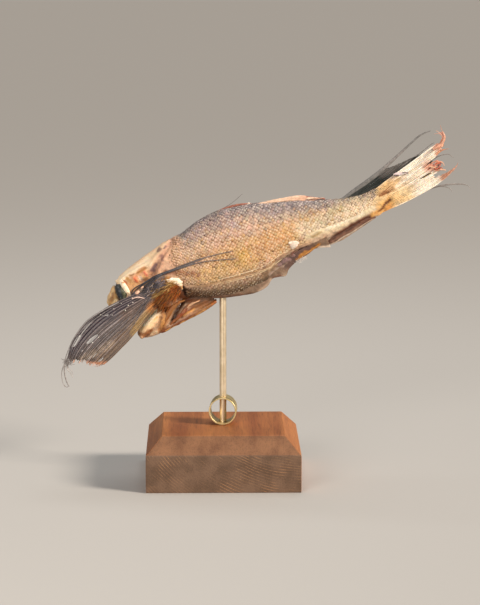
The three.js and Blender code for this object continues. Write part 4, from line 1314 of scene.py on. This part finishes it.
REAR = {
    "root": [(84, 201.5, 0.5), (92, 202, 1.4), (100, 203.5, 1.8)],
    "bend": [(103, 212, REAR_Y), (116, 215, REAR_Y), (122, 213, REAR_Y), (128, 208, REAR_Y)],
    "tips": [(117, 224, REAR_Y), (126, 227.6, REAR_Y), (138, 232.8, REAR_Y), (149, 236, REAR_Y),
             (150, 222, REAR_Y), (150, 211, REAR_Y)],
}
REAR_STROKES = [("#2b302e", 9, 0.9, [(96, 205), (112, 214)]), ("#66615d", 7, 0.8, [(116, 223), (130, 228)])]
# The rear fin's loose rays: path and radii.
REAR_WISPS = [
    ([(147, 228.2), (154, 232.6), (161, 234.2), (165, 231.6)], (0.45, 0.22)),
    ([(147, 209), (158, 211.8), (169, 212.6), (175, 211.8), (177.4, 209.6)], (0.6, 0.22)),
    ([(148, 209.6), (158, 212.2), (168, 213), (174, 212.6)], (0.4, 0.22)),
    ([(149, 210.6), (157, 211), (162, 210), (164.6, 207.2)], (0.45, 0.22)),
    ([(128, 226), (138, 232.6), (148, 240.6), (151, 242.4)], (0.3, 0.22)),
    ([(130, 227), (140, 234.4), (146, 239)], (0.3, 0.22)),
]


def make_rear_fin(skin_material, ray_material, tree):
    """The dark rear fin behind the tail stem, its long spine and its loose rays."""
    fin_sheet("rear_fin", REAR, size=(110, 70), ragged=0.05, pleats=9, pleat_mm=0.3,
              tears=[(0.25, [(104, 211), (112, 216)])], strokes=REAR_STROKES, base="#3d3c38",
              material=skin_material, thick_mm=0.35, seed=11)
    lines = fin_rays(REAR, np.linspace(0.02, 0.98, 12), (0.4, 0.3, 0.2), painter("#77736e", REAR_STROKES),
                     seed=12, y_out=-0.15)
    lines += [strand(*wisp, "#8b837e", y=REAR_Y, count=24) for wisp in REAR_WISPS]
    strands("rear_rays", lines, ray_material, tree)
    spine = blade(
        [(84, 201.4, 0.4), (94, 208.2, 2.2), (104, 215, 3.4), (114, 223, REAR_Y), (124, 232.2, REAR_Y),
         (134, 241.6, REAR_Y), (141, 247.8, REAR_Y), (148.5, 251.2, REAR_Y)],
        (0.9, 1.5, 1.7, 1.4, 1, 0.7, 0.6, 0.3), (0.6, 0.7, 0.7, 0.6, 0.5, 0.4, 0.4, 0.25), along=90,
        around=12)
    carved("rear_spine", [spine], ray_material, "#76726f", [
        ("#6b6966", 8, 0.8, [(90, 205), (104, 215)]), ("#8f8783", 5, 0.7, [(118, 227), (128, 236)]),
    ], rough=0.08)


FAN = {
    "root": over_flank([(-51, 140), (-48, 135), (-43.7, 131.2)], -1, 1.0),
    "bend": [(-106, 126, FAN_BEND_Y), (-91.5, 108, FAN_BEND_Y), (-69.2, 98.7, FAN_BEND_Y + 2)],
    "tips": [(-111.6, 88.6, FAN_TIP_Y), (-108, 87.4, FAN_TIP_Y), (-101, 88.6, FAN_TIP_Y),
             (-94, 86, FAN_TIP_Y), (-86.4, 85.4, FAN_TIP_Y)],
}
FAN_STROKES = [
    ("#453e44", 9, 0.9, [(-62, 130), (-75, 126), (-90, 117), (-102, 107), (-109, 96)]),
    ("#37303a", 2.6, 0.7, [(-66, 127), (-80, 121), (-92, 112), (-101, 102)]),
    ("#6e5b4c", 8, 0.85, [(-60, 112), (-75, 98), (-88, 88)]),
    ("#5a4a42", 5, 0.8, [(-56, 128), (-62, 123), (-70, 118)]),
    ("#96794f", 3.2, 0.9, [(-47, 126.6), (-55, 119), (-60, 112.6), (-64, 106)]),
    ("#8c5a2c", 5, 0.95, [(-46, 133), (-45, 127), (-51, 123.6)]),
    ("#b98466", 2.2, 0.95, [(-84, 84.5), (-94, 83.5), (-106, 85)]),
    ("#9c8a78", 3, 0.5, [(-100, 88), (-90, 92), (-80, 98)]),
]
FAN_TEARS = [
    (1.8, [(-107.4, 96.4), (-104.6, 100), (-101.8, 104)]),
    (0.55, [(-101.8, 104), (-97, 110.4), (-92, 115.6)]),
    (1.4, [(-96.6, 98.6), (-93, 101.6), (-89.6, 104.6)]),
    (0.9, [(-97.2, 86.6), (-93.4, 90)]), (0.9, [(-93, 88.6), (-87.6, 92.6)]),
    (0.9, [(-89, 85.4), (-85.6, 87.8)]), (0.5, [(-101, 92.6), (-99.6, 93.8)]),
    (0.4, [(-86, 118.4), (-79, 119.4)]), (0.9, [(-99.6, 82), (-98.6, 86)]),
]
FAN_SPECKS = [(-87.1, 119.3), (-77.7, 123.4), (-102.3, 103.9), (-93.1, 99.2), (-69.3, 122.5), (-78.7, 119),
              (-67.2, 126), (-88.8, 103), (-72.4, 127.4), (-64, 128)]
# The breast fin's leading rays and the loose hairs under them: path, radii and colour.
FAN_WISPS = [
    ([(-74, 131.6, -20), (-87.3, 124.9, -21.4), (-98, 117, -21), (-106.6, 105, -20),
      (-111.4, 94.2, -19.4), (-113.2, 88.4, -19)], (0.5, 0.55, 0.4, 0.25), "#8d8684"),
    ([(-84, 124.6, -20.8), (-98, 114, -20.4), (-107, 102, -19.6), (-112, 89, -19)], (0.4, 0.22),
     "#77706f"),
    ([(-112.6, 89), (-115.2, 81), (-114.8, 74), (-113.2, 70.1)], (0.42, 0.2), "#99928e"),
    ([(-112.2, 90), (-113.2, 82), (-112, 75), (-109.8, 70.3)], (0.42, 0.2), "#a39c97"),
    ([(-112.6, 91), (-113.6, 83), (-112.8, 76), (-110.6, 70.4)], (0.3, 0.2), "#8a827e"),
    ([(-111, 88), (-111.4, 83), (-109.2, 80.4), (-107.4, 76.8)], (0.4, 0.18), "#aba39d"),
    ([(-113.4, 71.6), (-112.2, 70), (-110.6, 70.4)], (0.3, 0.2), "#99918c"),
    ([(-111, 88), (-110.8, 84), (-108.4, 82), (-107.4, 79)], (0.3, 0.15), "#a29a94"),
]


def make_breast_fan(skin_material, ray_material, tree):
    """The left breast fin, which bends forward past the head, with its torn skin, rays and loose hairs."""
    fin_sheet("breast_fan", FAN, size=(160, 120), ragged=0.06, pleats=15, pleat_mm=0.3, tears=FAN_TEARS,
              strokes=FAN_STROKES, base="#5a4f4a", material=skin_material, thick_mm=0.35, seed=21)
    pale, deep = painter("#6a6160", FAN_STROKES[2:], 1.7), painter("#554b4a", FAN_STROKES, 0.7)
    random = np.random.default_rng(22)
    shares = np.clip(np.linspace(0.1, 1, 17) ** 0.7 - 0.18 + random.normal(0, 0.012, 17), 0.01, 0.99)
    lines = fin_rays(FAN, shares, (0.2, 0.22, 0.16), pale, seed=23, y_out=-0.3)
    lines += fin_rays(FAN, random.uniform(0.4, 0.98, 22), (0.14, 0.16, 0.13), pale, seed=24, y_out=-0.26,
                      overrun=0.06)
    lines += fin_rays(FAN, random.uniform(0.02, 0.98, 30), (0.26, 0.2, 0.14), deep, seed=25, y_out=-0.18)
    lines += [strand(*wisp, y=FAN_TIP_Y, count=32) for wisp in FAN_WISPS]
    # the knot of hairs where the leading rays meet
    for _ in range(HAIRS["fan_knot"]):
        start = np.array((-111.6, FAN_TIP_Y, 88.6)) + random.normal(0, 0.9, 3)
        reach = random.normal(0, 1.8, 3) + (0.9, 0, -0.6)
        bow = random.normal(0, 0.4, 3)
        lines.append(bristle(start, reach, bow, 0.2, hue("#857d79") * random.uniform(0.7, 1.3)))
    strands("fan_rays", lines, ray_material, tree, sides=5)
    specks = [
        ball((x, z + 3.6, -21.9), (0.4 + 0.02 * (x % 7), 0.3, 0.35), tilt=20, segments=10, rows=6)
        for x, z in FAN_SPECKS
    ]
    carved("fan_specks", specks, skin_material, "#dcd6cc", rough=0.2, lump=0.8)


# Rays that lie back over the flank: path and half thickness.
FLANK_RUNS = [
    ([(-66.8, 131.5), (-64.1, 137.6), (-56.3, 142.2), (-47.1, 147.8), (-35.7, 151.9), (-30, 154.2),
      (-18.5, 158.5), (-7.7, 161.6), (7, 165)], 0.8),
    ([(-62, 137), (-55, 142.2), (-46, 147.2), (-35.7, 150.8), (-30, 152.7), (-16.7, 156.7), (-3.3, 158.5),
      (9, 159.4)], 0.7),
    ([(-65, 134), (-60, 139), (-52, 144.4), (-42, 149.2), (-32, 152.6), (-20, 156.4)], 0.55),
    ([(-60, 137.6), (-52, 142.8), (-42, 148.6), (-30, 153.4), (-14, 159.4)], 0.45),
    ([(-63.4, 132), (-58, 138), (-50, 143.6), (-44, 147.4)], 0.5),
]


def make_flank_strands(ray_material, tree):
    """The dark rays that lie back over the flank, and the tangle of bristles that they leave."""
    slate, fades = hue("#3b3a41"), hue("#857a76")
    lines, count = [], 44
    share = np.linspace(0, 1, count)
    for points, thick in FLANK_RUNS:
        path = along_flank(points, 1.0, count)
        path[:, 1] -= 1.8 * np.exp(-(((path[:, 0] + 45) / 7) ** 2))
        tint = slate + (fades - slate) * np.clip(share * 1.5 - 0.6, 0, 1)[:, None]
        radii = np.interp(share, [0, 0.25, 0.55, 1], [thick * 0.25, thick * 0.6, thick * 0.55, 0.24])
        lines.append((path, radii, tint))
    # rays that run on from the bundle into the fan
    for k in range(9):
        back = (-47 + 0.4 * k, 146.4 - 1.1 * k)
        start = along_flank([back, (back[0] - 5, back[1] - 3.6), (-62.6 + 1.6 * k, 134.6 + 0.1 * k)], 1.8, 3)
        rest = fin_point(FAN, np.full(4, 0.03 + 0.1 * k), np.array([0.34, 0.5, 0.7, 0.9])) - (0, 0.45, 0)
        path = spline(np.vstack([start, rest]))(share)
        tint = slate + (hue("#7d7578") - slate) * np.clip(share * 2 - 0.5, 0, 1)[:, None]
        lines.append((path, np.interp(share, [0, 0.3, 1], [0.12, 0.3, 0.15]), tint))
    random = np.random.default_rng(31)
    for _ in range(HAIRS["flank"]):
        x, low = -66 + 24 * random.random() ** 1.3, random.random()
        z = 132.4 + 0.66 * (x + 66) - 8 * low * min(1, (x + 68) / 10)
        y = -flank_at(x, z + 2) - random.uniform(0.5, 4)
        turn, length = math.radians(random.normal(38, 24)), random.uniform(2.5, 7)
        reach = np.array((math.cos(turn), random.uniform(-0.2, 0.2), math.sin(turn))) * length
        colour = picked(random, ["#4a454c", "#6a6269", "#8f8589", "#b39c84", "#dfc4b4"],
                        odds=[0.28, 0.3, 0.25, 0.1, 0.07])
        start = np.array((x, y, z + 2.2)) - reach / 2
        lines.append(bristle(start, reach, random.normal(0, 0.6, 3), 0.21, colour))
    lines.append(strand([(-64.6, 133.6, -16.6), (-60.6, 134.6, -17), (-56, 133.8, -17)], (0.3, 0.55, 0.3),
                        "#e6c4b4"))
    strands("flank_strands", lines, ray_material, tree, sides=5)
    scraps = [
        ball((-61, 137.8, -15), (1.7, 0.8, 1.1), tilt=30, segments=16, rows=10),
        ball((-64.6, 133.4, -15.6), (0.9, 0.6, 0.8), tilt=0, segments=16, rows=10),
        ball((-57.6, 141.4, -15), (1.2, 0.6, 0.6), tilt=40, segments=16, rows=10),
    ]
    carved("skin_scraps", scraps, ray_material, "#e5b79a", [("#f2dcd0", 1.6, 0.9, [(-64.6, 131)])],
           rough=0.3, lump=1.2)


def make_folded_fan(skin_material, ray_material, tree):
    """The right breast fin, folded back along its flank."""
    shape = {
        "root": over_flank([(-42, 138), (-40, 134), (-38, 130)], 1, 0.4),
        "bend": over_flank([(-16, 153), (-14, 146), (-14, 139)], 1, 1.6),
        "tips": over_flank([(12, 167), (20, 161), (18, 154), (8, 147)], 1, 0.9),
    }
    fin_sheet("folded_fan", shape, size=(110, 80), ragged=0.06, pleats=9, pleat_mm=0.3, tears=[],
              strokes=[], base="#6f6661", material=skin_material, thick_mm=0.5, seed=41)
    rays = fin_rays(shape, np.linspace(0.02, 0.98, 14), (0.5, 0.35, 0.2), painter("#938a84"), seed=42,
                    y_out=0.25)
    strands("folded_rays", rays, ray_material, tree)


# ---------------------------------------------------------------- back fin, belly, head details
def make_back_fin(skin_material, ray_material, tree):
    """The back fin, folded down: thin pink and cream strips along the ridge, and one loose hair."""
    strips = [
        blade([(-5, 193.6), (4, 196.8), (12, 198.6), (20, 199.4)], (0.4, 0.9, 1, 0.5), y=-0.8, along=60),
        blade([(21, 198.6), (36, 201.2), (50, 203), (57, 203.4), (66, 202.6)], (0.5, 1.2, 1.9, 2, 0.6),
              (0.5, 1.1, 1.3, 1.3, 0.6), y=-1.2, along=60),
        blade([(56, 204), (64, 203.8), (73, 202.8)], (0.8, 0.6, 0.3), (0.6, 0.5, 0.3), y=-1.4, along=60),
        blade([(18, 198), (34, 200.6), (50, 202.2), (66, 202)], (0.5, 0.8, 0.9, 0.4), y=-2.4, along=60),
    ]
    carved("back_fin", strips, skin_material, "#d2a68a", [
        ("#94503c", 3, 0.9, [(-5, 194), (6, 197.4), (19, 199)]),
        ("#e8c2a4", 3, 0.8, [(24, 199), (40, 202.6), (54, 205)]),
        ("#a5553f", 2, 0.9, [(61, 204.4), (73, 203)]),
        ("#4a2a22", 0.9, 0.9, [(60, 202.2), (71, 202)]),
        ("#d9c98a", 2, 0.7, [(19, 196.6), (23, 197)]),
    ], rough=0.15, lump=1.6)
    lines = [
        strand([(0, 196), (6, 199.6), (14, 206.4)], (0.26, 0.14), "#77706c", y=-0.6, count=12),
        strand([(17.4, 198.6), (18.4, 200), (19.2, 199.4)], (0.5, 0.5), "#e8d2bc", y=-1, count=6),
    ]
    random = np.random.default_rng(54)
    for x in np.linspace(22, 64, 34):
        z = np.interp(x, [22, 36, 50, 64], [199, 202, 204.2, 203.6])
        ray = [(x, -1.8, z - 1.6), (x + 4, -2.2, z - 0.6), (x + 9, -1.8, z + 0.1)]
        path = spline(ray)(np.linspace(0, 1, 8))
        colour = picked(random, ["#e9c3a6", "#c98f74", "#f1dcc0", "#9d6350"])
        lines.append((path, np.linspace(0.28, 0.12, 8), colour * random.uniform(0.75, 1.05)))
    strands("back_rays", lines, ray_material, tree)


BELLY_TOP = [(-8, 139), (10, 141), (30, 149), (50, 164), (74, 176)]
BELLY_EDGE = [(-8, 131.6), (4, 132.4), (20, 134.8), (27, 137.2), (32, 140.4), (35.5, 145.8), (41, 147.4),
              (45, 148), (47.5, 153), (54, 159.3), (61, 163.6), (66.5, 167.6), (77, 168.6)]
BELLY_STROKES = [
    ("#7d6450", 5, 0.8, [(0, 136), (24, 140), (38, 152)]),
    # painted shade along the wall's lower edge, under the belly
    ("#5c3b26", 3, 0.9, [(-10, 131), (8, 131.6), (20, 133)]),
    ("#5e443c", 6, 0.95, [(46, 156), (54, 163), (60, 167)]),
    ("#b57834", 1.5, 0.95, [(53, 159.6), (60, 164), (69, 170)]),
    ("#b89c84", 1.6, 0.8, [(26, 136.6), (33, 141), (36, 146), (44, 148.2)]),
    ("#e0ccb6", 1.6, 0.9, [(70, 167.6), (77, 168.4)]),
    ("#6d4029", 1.4, 0.8, [(36, 146.4), (41, 147.6)]),
]
# Folds along the belly: path, half thickness and colour.
BELLY_FOLDS = [
    ([(-12, 142.4), (0, 145.2), (10, 147.8), (20, 150.8), (30, 154.8), (40, 161.8), (49, 168)], 0.42,
     "#dfc8a6"),
    ([(-4, 140.4), (10, 144.2), (22, 147.6), (32, 152), (42, 159.2), (50, 165.2)], 0.36, "#d2b994"),
    ([(-12, 140.8), (0, 143.6), (12, 147), (24, 150.6), (34, 155.2), (44, 162.6)], 0.22, "#b08a62"),
    ([(-2, 148.4), (12, 152), (24, 156), (34, 161), (42, 166), (48, 170)], 0.32, "#d6bd98"),
    ([(26, 156.6), (34, 160.2), (41, 165), (50, 169.6)], 0.3, "#b87a48"),
    ([(34, 157.6), (44, 164), (54, 169), (64, 172.4)], 0.35, "#d8b58c"),
]


def make_belly(skin_material, ray_material, tree):
    """The torn belly wall with its creases, the pale chip, the orange rim and white fuzz."""
    columns, rows = 190, 26
    u = np.linspace(0, 1, columns)
    v = np.linspace(0, 1, rows)[None, :, None]
    top, edge = spline(placed(BELLY_TOP))(u)[:, None], spline(placed(BELLY_EDGE))(u)[:, None]
    grid = top * (1 - v) + edge * v
    grid[..., 1] = -3.4 - 2.2 * (1 - v[..., 0])
    flat = grid.reshape(-1, 3)
    grid[..., 1] += (0.5 * wobble(flat, 6, 61) + 0.25 * wobble(flat, 2.2, 62)).reshape(columns, rows)
    points = grid.reshape(-1, 3)
    wall = new_piece("belly_wall", points, grid_faces(columns, rows, wrap=False), skin_material,
                     paint(points, "#80654f", BELLY_STROKES))
    thicken(wall, thick_mm=1.1)
    lines = []
    for points, radius, colour in BELLY_FOLDS:
        path = along_flank(points, 0.0)
        swell = np.sin(np.pi * np.linspace(0.04, 0.96, len(path))) ** 0.5
        lines.append((path, radius * swell, hue(colour) * (1 + 0.14 * wobble(path, 4, 63))[:, None]))
    lines.append(strand([(54, 160.4), (60, 164.4), (66, 168.6), (70, 171)], (0.2, 0.5, 0.5, 0.2), "#b87c38",
                        y=-5))
    lines.append(strand([(72, 168.6), (80, 171.4), (86, 175.4), (92, 178.6), (100, 184), (107, 188.4)],
                        (0.2, 0.6, 0.6, 0.2), "#b59f8a", y=-2.2, count=36))
    random = np.random.default_rng(64)
    for _ in range(HAIRS["belly"]):
        x = random.uniform(50, 59)
        start = (x, -4.2, np.interp(x, [50, 60], [157.4, 163]))
        reach = (random.uniform(-1.5, 4), random.uniform(-2, 2), random.uniform(-3.5, 0.3))
        lines.append(bristle(start, reach, random.normal(0, 0.4, 3), 0.12, hue("#d8d0c8"), count=7))
    strands("belly_strands", lines, ray_material, tree)
    chip = [
        blade(over_flank([(46.6, 172.4), (50.4, 172.8), (54.2, 172.2)], -1, 0.5), (0.8, 1.3, 0.8),
              (0.4, 0.8, 0.4)),
        blade(over_flank([(50.6, 173.4), (50.2, 171), (49.4, 167.8)], -1, 0.5), (2.4, 3.1, 0.5),
              (0.5, 0.9, 0.4)),
    ]
    carved("belly_fin_stub", chip, skin_material, "#ead6c4",
           [("#f0dcc8", 1.2, 0.8, [(48, 170), (52, 170.6)])], rough=0.1)
    under = blade([(71, 170.4), (82, 175.4), (94, 182.6), (109, 190.4)], (1, 3.6, 3.4, 1.4),
                  (0.5, 0.8, 0.8, 0.5), y=-0.6, along=60)
    carved("under_fin", [under], skin_material, "#6b4431", [
        # brown of the fin, darkened with painted shade in the slit
        ("#472819", 1.2, 0.9, [(78, 174), (88, 179.4), (98, 185.4)]),
        ("#8f6a54", 1.6, 0.7, [(76, 170.4), (86, 175), (98, 182.4)]),
        ("#b89a82", 1.1, 0.9, [(74, 167.6), (84, 172), (96, 180), (108, 187.6)]),
    ])


EYE_STROKES = [
    ("#303236", 2.4, 0.95, [(-76.4, 140.6), (-75.4, 136), (-73.6, 131), (-71.6, 128)]),
    ("#46505a", 1.5, 0.7, [(-74, 137), (-72.4, 132)]),
    ("#8e8f6e", 1.5, 0.85, [(-72, 138), (-70, 133.6), (-69.4, 131)]),
    ("#23272e", 1.2, 0.7, [(-75.6, 137), (-74.4, 132.6)]),
    ("#c2c8ba", 0.6, 0.8, [(-71.6, 136.4)]), ("#c2c8ba", 0.5, 0.8, [(-72.6, 131.4)]),
]


def make_eyes(eye_material):
    """The dried eyes, sunk in their sockets."""
    for hand, side in HANDS:
        points, faces = ball((EYE["x"], EYE["z"], side * EYE["y"]), EYE["radii"], EYE["tilt"])
        points = shaken(points, size=1.6, seed=75, mm=0.35)
        tint = 0.78 * paint(points, "#67695c", EYE_STROKES, ragged=0.7)
        face_out(new_piece(f"eye_{hand}", points, faces, eye_material, tint))


def make_gill_bones(skin_material):
    """The white bones behind the breast fins' roots."""
    for hand, side in HANDS:
        carved(f"gill_bone_{hand}", [
            blade(over_flank([(-40.6, 146.6), (-36.8, 146.2), (-32.4, 145.4), (-28.8, 144.6)], side, 1.0),
                  (0.4, 1.9, 2.5, 0.6), (0.5, 1.3, 1.3, 0.5)),
            blade(over_flank([(-32.4, 144.4), (-30.4, 142.4), (-29, 139.4)], side, 0.8), (1.2, 1.5, 0.5),
                  (0.8, 0.9, 0.5)),
        ], skin_material, "#f8e2c4", [
            ("#b98143", 2.4, 0.9, [(-32, 138), (-29.4, 139.4)]),
            ("#fff0da", 1.5, 0.9, [(-38.6, 144.6), (-33, 145.4)]),
        ], rough=0.45, lump=1.7)


def make_cheek_strips(skin_material):
    """The pale strips behind the eyes."""
    for hand, side in HANDS:
        path = over_flank([(-73.5, 145), (-71, 142), (-68.6, 138.4), (-66, 134.2)], side, 1.0)
        strip = blade(path, (1.3, 1.8, 1.7, 0.8), (0.6, 0.9, 0.8, 0.4), along=30)
        carved(f"cheek_strip_{hand}", [strip], skin_material, "#ffe8c8", [
            ("#cf8a4a", 0.9, 0.9, [(-71.2, 142.4)]), ("#c9a172", 1.0, 0.6, [(-68, 134), (-66.4, 132)]),
        ], rough=0.12, lump=2.5)


def make_throat_strips(skin_material):
    """The brown strips that hang under the throat."""
    for hand, side in HANDS:
        carved(f"throat_{hand}", [
            blade([(-43, 112.6), (-40, 119.6), (-36.2, 125.4), (-31.8, 129.2), (-27.6, 131)],
                  (0.8, 1.9, 1.7, 1.1, 0.4), (0.6, 1.2, 1.3, 1.0, 0.6), y=side * 8.8, along=40),
            blade([(-38, 113), (-30, 120.6), (-25, 126.6), (-16.6, 131)], (0.5, 1.4, 1.1, 0.4),
                  (0.5, 0.9, 0.8, 0.4), y=side * 7.6, along=40),
            blade([(-29, 121.6), (-24.6, 126.2), (-20, 129.2), (-16.4, 130.8)], (0.2, 0.4, 0.5, 0.3),
                  y=side * 8.6, along=30),
        ], skin_material, "#884c1e", [
            ("#945f2c", 2.2, 0.9, [(-42, 112), (-39.6, 118.4), (-35.8, 124), (-31, 128), (-27, 129.6)]),
            ("#e0b48c", 0.7, 0.85, [(-29, 120.6), (-24, 125.6), (-17, 129.4)]),
            ("#83370f", 1.4, 0.8, [(-32, 117), (-26, 123)]),
        ], rough=0.25, lump=1.8)


def make_muscle(ray_material, tree):
    """The hairy dried muscle behind the breast fin's root."""
    orange, straw = ["#b85e06", "#924a04", "#603002", "#9a6012"], ["#b88c44", "#96682a", "#dcb470"]
    lines = []
    random = np.random.default_rng(91)
    for _ in range(HAIRS["muscle"]):
        share, spread = random.random(), random.normal(0, 1)
        x = -31.4 - 15 * share - spread * (0.8 + 1.6 * share)
        z = 140.6 - 12 * share + spread * (1.6 + 2.4 * share)
        turn = math.radians(222 - 9 * spread + random.normal(0, 10))
        reach = np.array((math.cos(turn), 0.08, math.sin(turn))) * random.uniform(4, 8.5)
        start = (x, -flank_at(x, z + 2) - random.uniform(1.5, 4.6), z + 2.6)
        colour = picked(random, straw if spread >= 0.8 else orange) * (1.1 - 0.45 * share)
        lines.append(bristle(start, reach, random.normal(0, 0.35, 3), 0.22, colour))
    strands("muscle_fibres", lines, ray_material, tree, sides=5)


# ---------------------------------------------------------------- the stand
def make_block(material):
    """The block, with its edges eased by a plane."""
    half = BLOCK["width"] / 2, BLOCK["depth"] / 2
    run, rise, top = BLOCK["bevel_run"], BLOCK["height"] - BLOCK["bevel_rise"], BLOCK["height"]
    corners = [(-1, -1), (1, -1), (1, 1), (-1, 1)]
    points = [(sx * (half[0] - inset), sy * (half[1] - inset), z)
              for z, inset in ((0, 0), (rise, 0), (top, run)) for sx, sy in corners]
    faces = [(3, 2, 1, 0), (8, 9, 10, 11)]
    for level in (0, 4):
        faces += [(level + i, level + (i + 1) % 4, level + 4 + (i + 1) % 4, level + 4 + i) for i in range(4)]
    block = new_piece("block", points, faces, material, smooth=False)
    eased = block.modifiers.new("eased", "BEVEL")
    eased.width, eased.segments, eased.limit_method = BLOCK["edge"] * MM, 3, "NONE"
    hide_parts("wood_block")


def make_rod(material):
    """The rod, a drawn bar with its ends broken."""
    low, high, radius = BLOCK["height"] - ROD["foot_depth"], ROD["top"], ROD["radius"]
    broken = 0.3
    profile = [
        (radius - broken, low), (radius, low + broken), (radius, high - broken), (radius - broken, high),
    ]
    rings = np.array([[(r * math.cos(a), r * math.sin(a), z) for a in once_round(64)] for r, z in profile])
    points, faces = loft(rings)
    rod = new_piece("rod", points, faces, material)
    face_out(rod)
    rod.modifiers.new("sharp", "EDGE_SPLIT").split_angle = SHARP_EDGE
    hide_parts("brass_rod")


def make_ring(material):
    """The ring, sawn off a tube and drilled for the rod, its edges broken."""
    outer, inner, half = RING["radius"], RING["radius"] - RING["wall"], RING["width"] / 2
    broken, steps = 0.15, 96
    profile = [
        (outer - broken, -half), (outer, -half + broken), (outer, half - broken), (outer - broken, half),
        (inner + broken, half), (inner, half - broken), (inner, -half + broken), (inner + broken, -half),
    ]
    middle = BLOCK["height"] + FIT_GAP + outer
    cos, sin = math.cos(RING["turn"]), math.sin(RING["turn"])
    rings = np.array([
        [(r * math.cos(a) * cos - y * sin, r * math.cos(a) * sin + y * cos,
          middle + r * math.sin(a)) for a in once_round(steps)]
        for r, y in profile
    ])
    count = len(profile)
    around = [(j, (j + 1) % steps) for j in range(steps)]
    faces = [(i * steps + j, i * steps + k, (i + 1) % count * steps + k, (i + 1) % count * steps + j)
             for i in range(count) for j, k in around]
    ring = new_piece("ring", rings.reshape(-1, 3), faces, material)
    face_out(ring)
    low, high = BLOCK["height"] - 5, BLOCK["height"] + 3 * outer
    drill = blade([(0, low), (0, high)], (ROD["radius"] + FIT_GAP,) * 2, along=2, around=48)
    cut_from(ring, drill)
    set_smooth(ring.data)
    ring.modifiers.new("sharp", "EDGE_SPLIT").split_angle = SHARP_EDGE
    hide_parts("brass_ring")


def make_floor():
    """A floor far wider than any view of the part."""
    far = 20_000
    corners = [(-far, -far, 0), (far, -far, 0), (far, far, 0), (-far, far, 0)]
    floor = new_object("floor", corners, [], [(0, 1, 2, 3)])
    floor.data.materials.append(studio_floor())


# ---------------------------------------------------------------- all of it
def build():
    """Makes the floor, the stand and the fish."""
    skin, scale, ray = smoked_skin(), dried_scale(), horny_ray()
    pale_fin, dark_fin = fin_skin("tail_parchment", 0.45, 0.15), fin_skin("dark_fin_parchment", 0.4, 0.05)
    tubes, scales = strand_tree(), scale_tree()
    make_floor()
    make_block(oiled_hardwood())
    make_rod(drawn_brass("drawn_brass_rod", "#efdcbe", "#dfcaa8", stretch=(1, 1, 0.03), rough=0.46))
    make_ring(drawn_brass("drawn_brass_ring", "#e8d6a6", "#cbb782", stretch=(1, 0.03, 1), rough=0.5))
    make_skin(skin)
    for hand, side in HANDS:
        make_scales(f"scales_{hand}", side, scale, scales)
    make_eyes(clouded_eye())
    make_gill_bones(skin)
    make_cheek_strips(skin)
    make_throat_strips(skin)
    make_muscle(ray, tubes)
    make_back_fin(skin, ray, tubes)
    make_belly(skin, ray, tubes)
    make_tail(pale_fin, ray, tubes)
    make_rear_fin(dark_fin, ray, tubes)
    make_breast_fan(dark_fin, ray, tubes)
    make_flank_strands(ray, tubes)
    make_folded_fan(dark_fin, ray, tubes)


build()
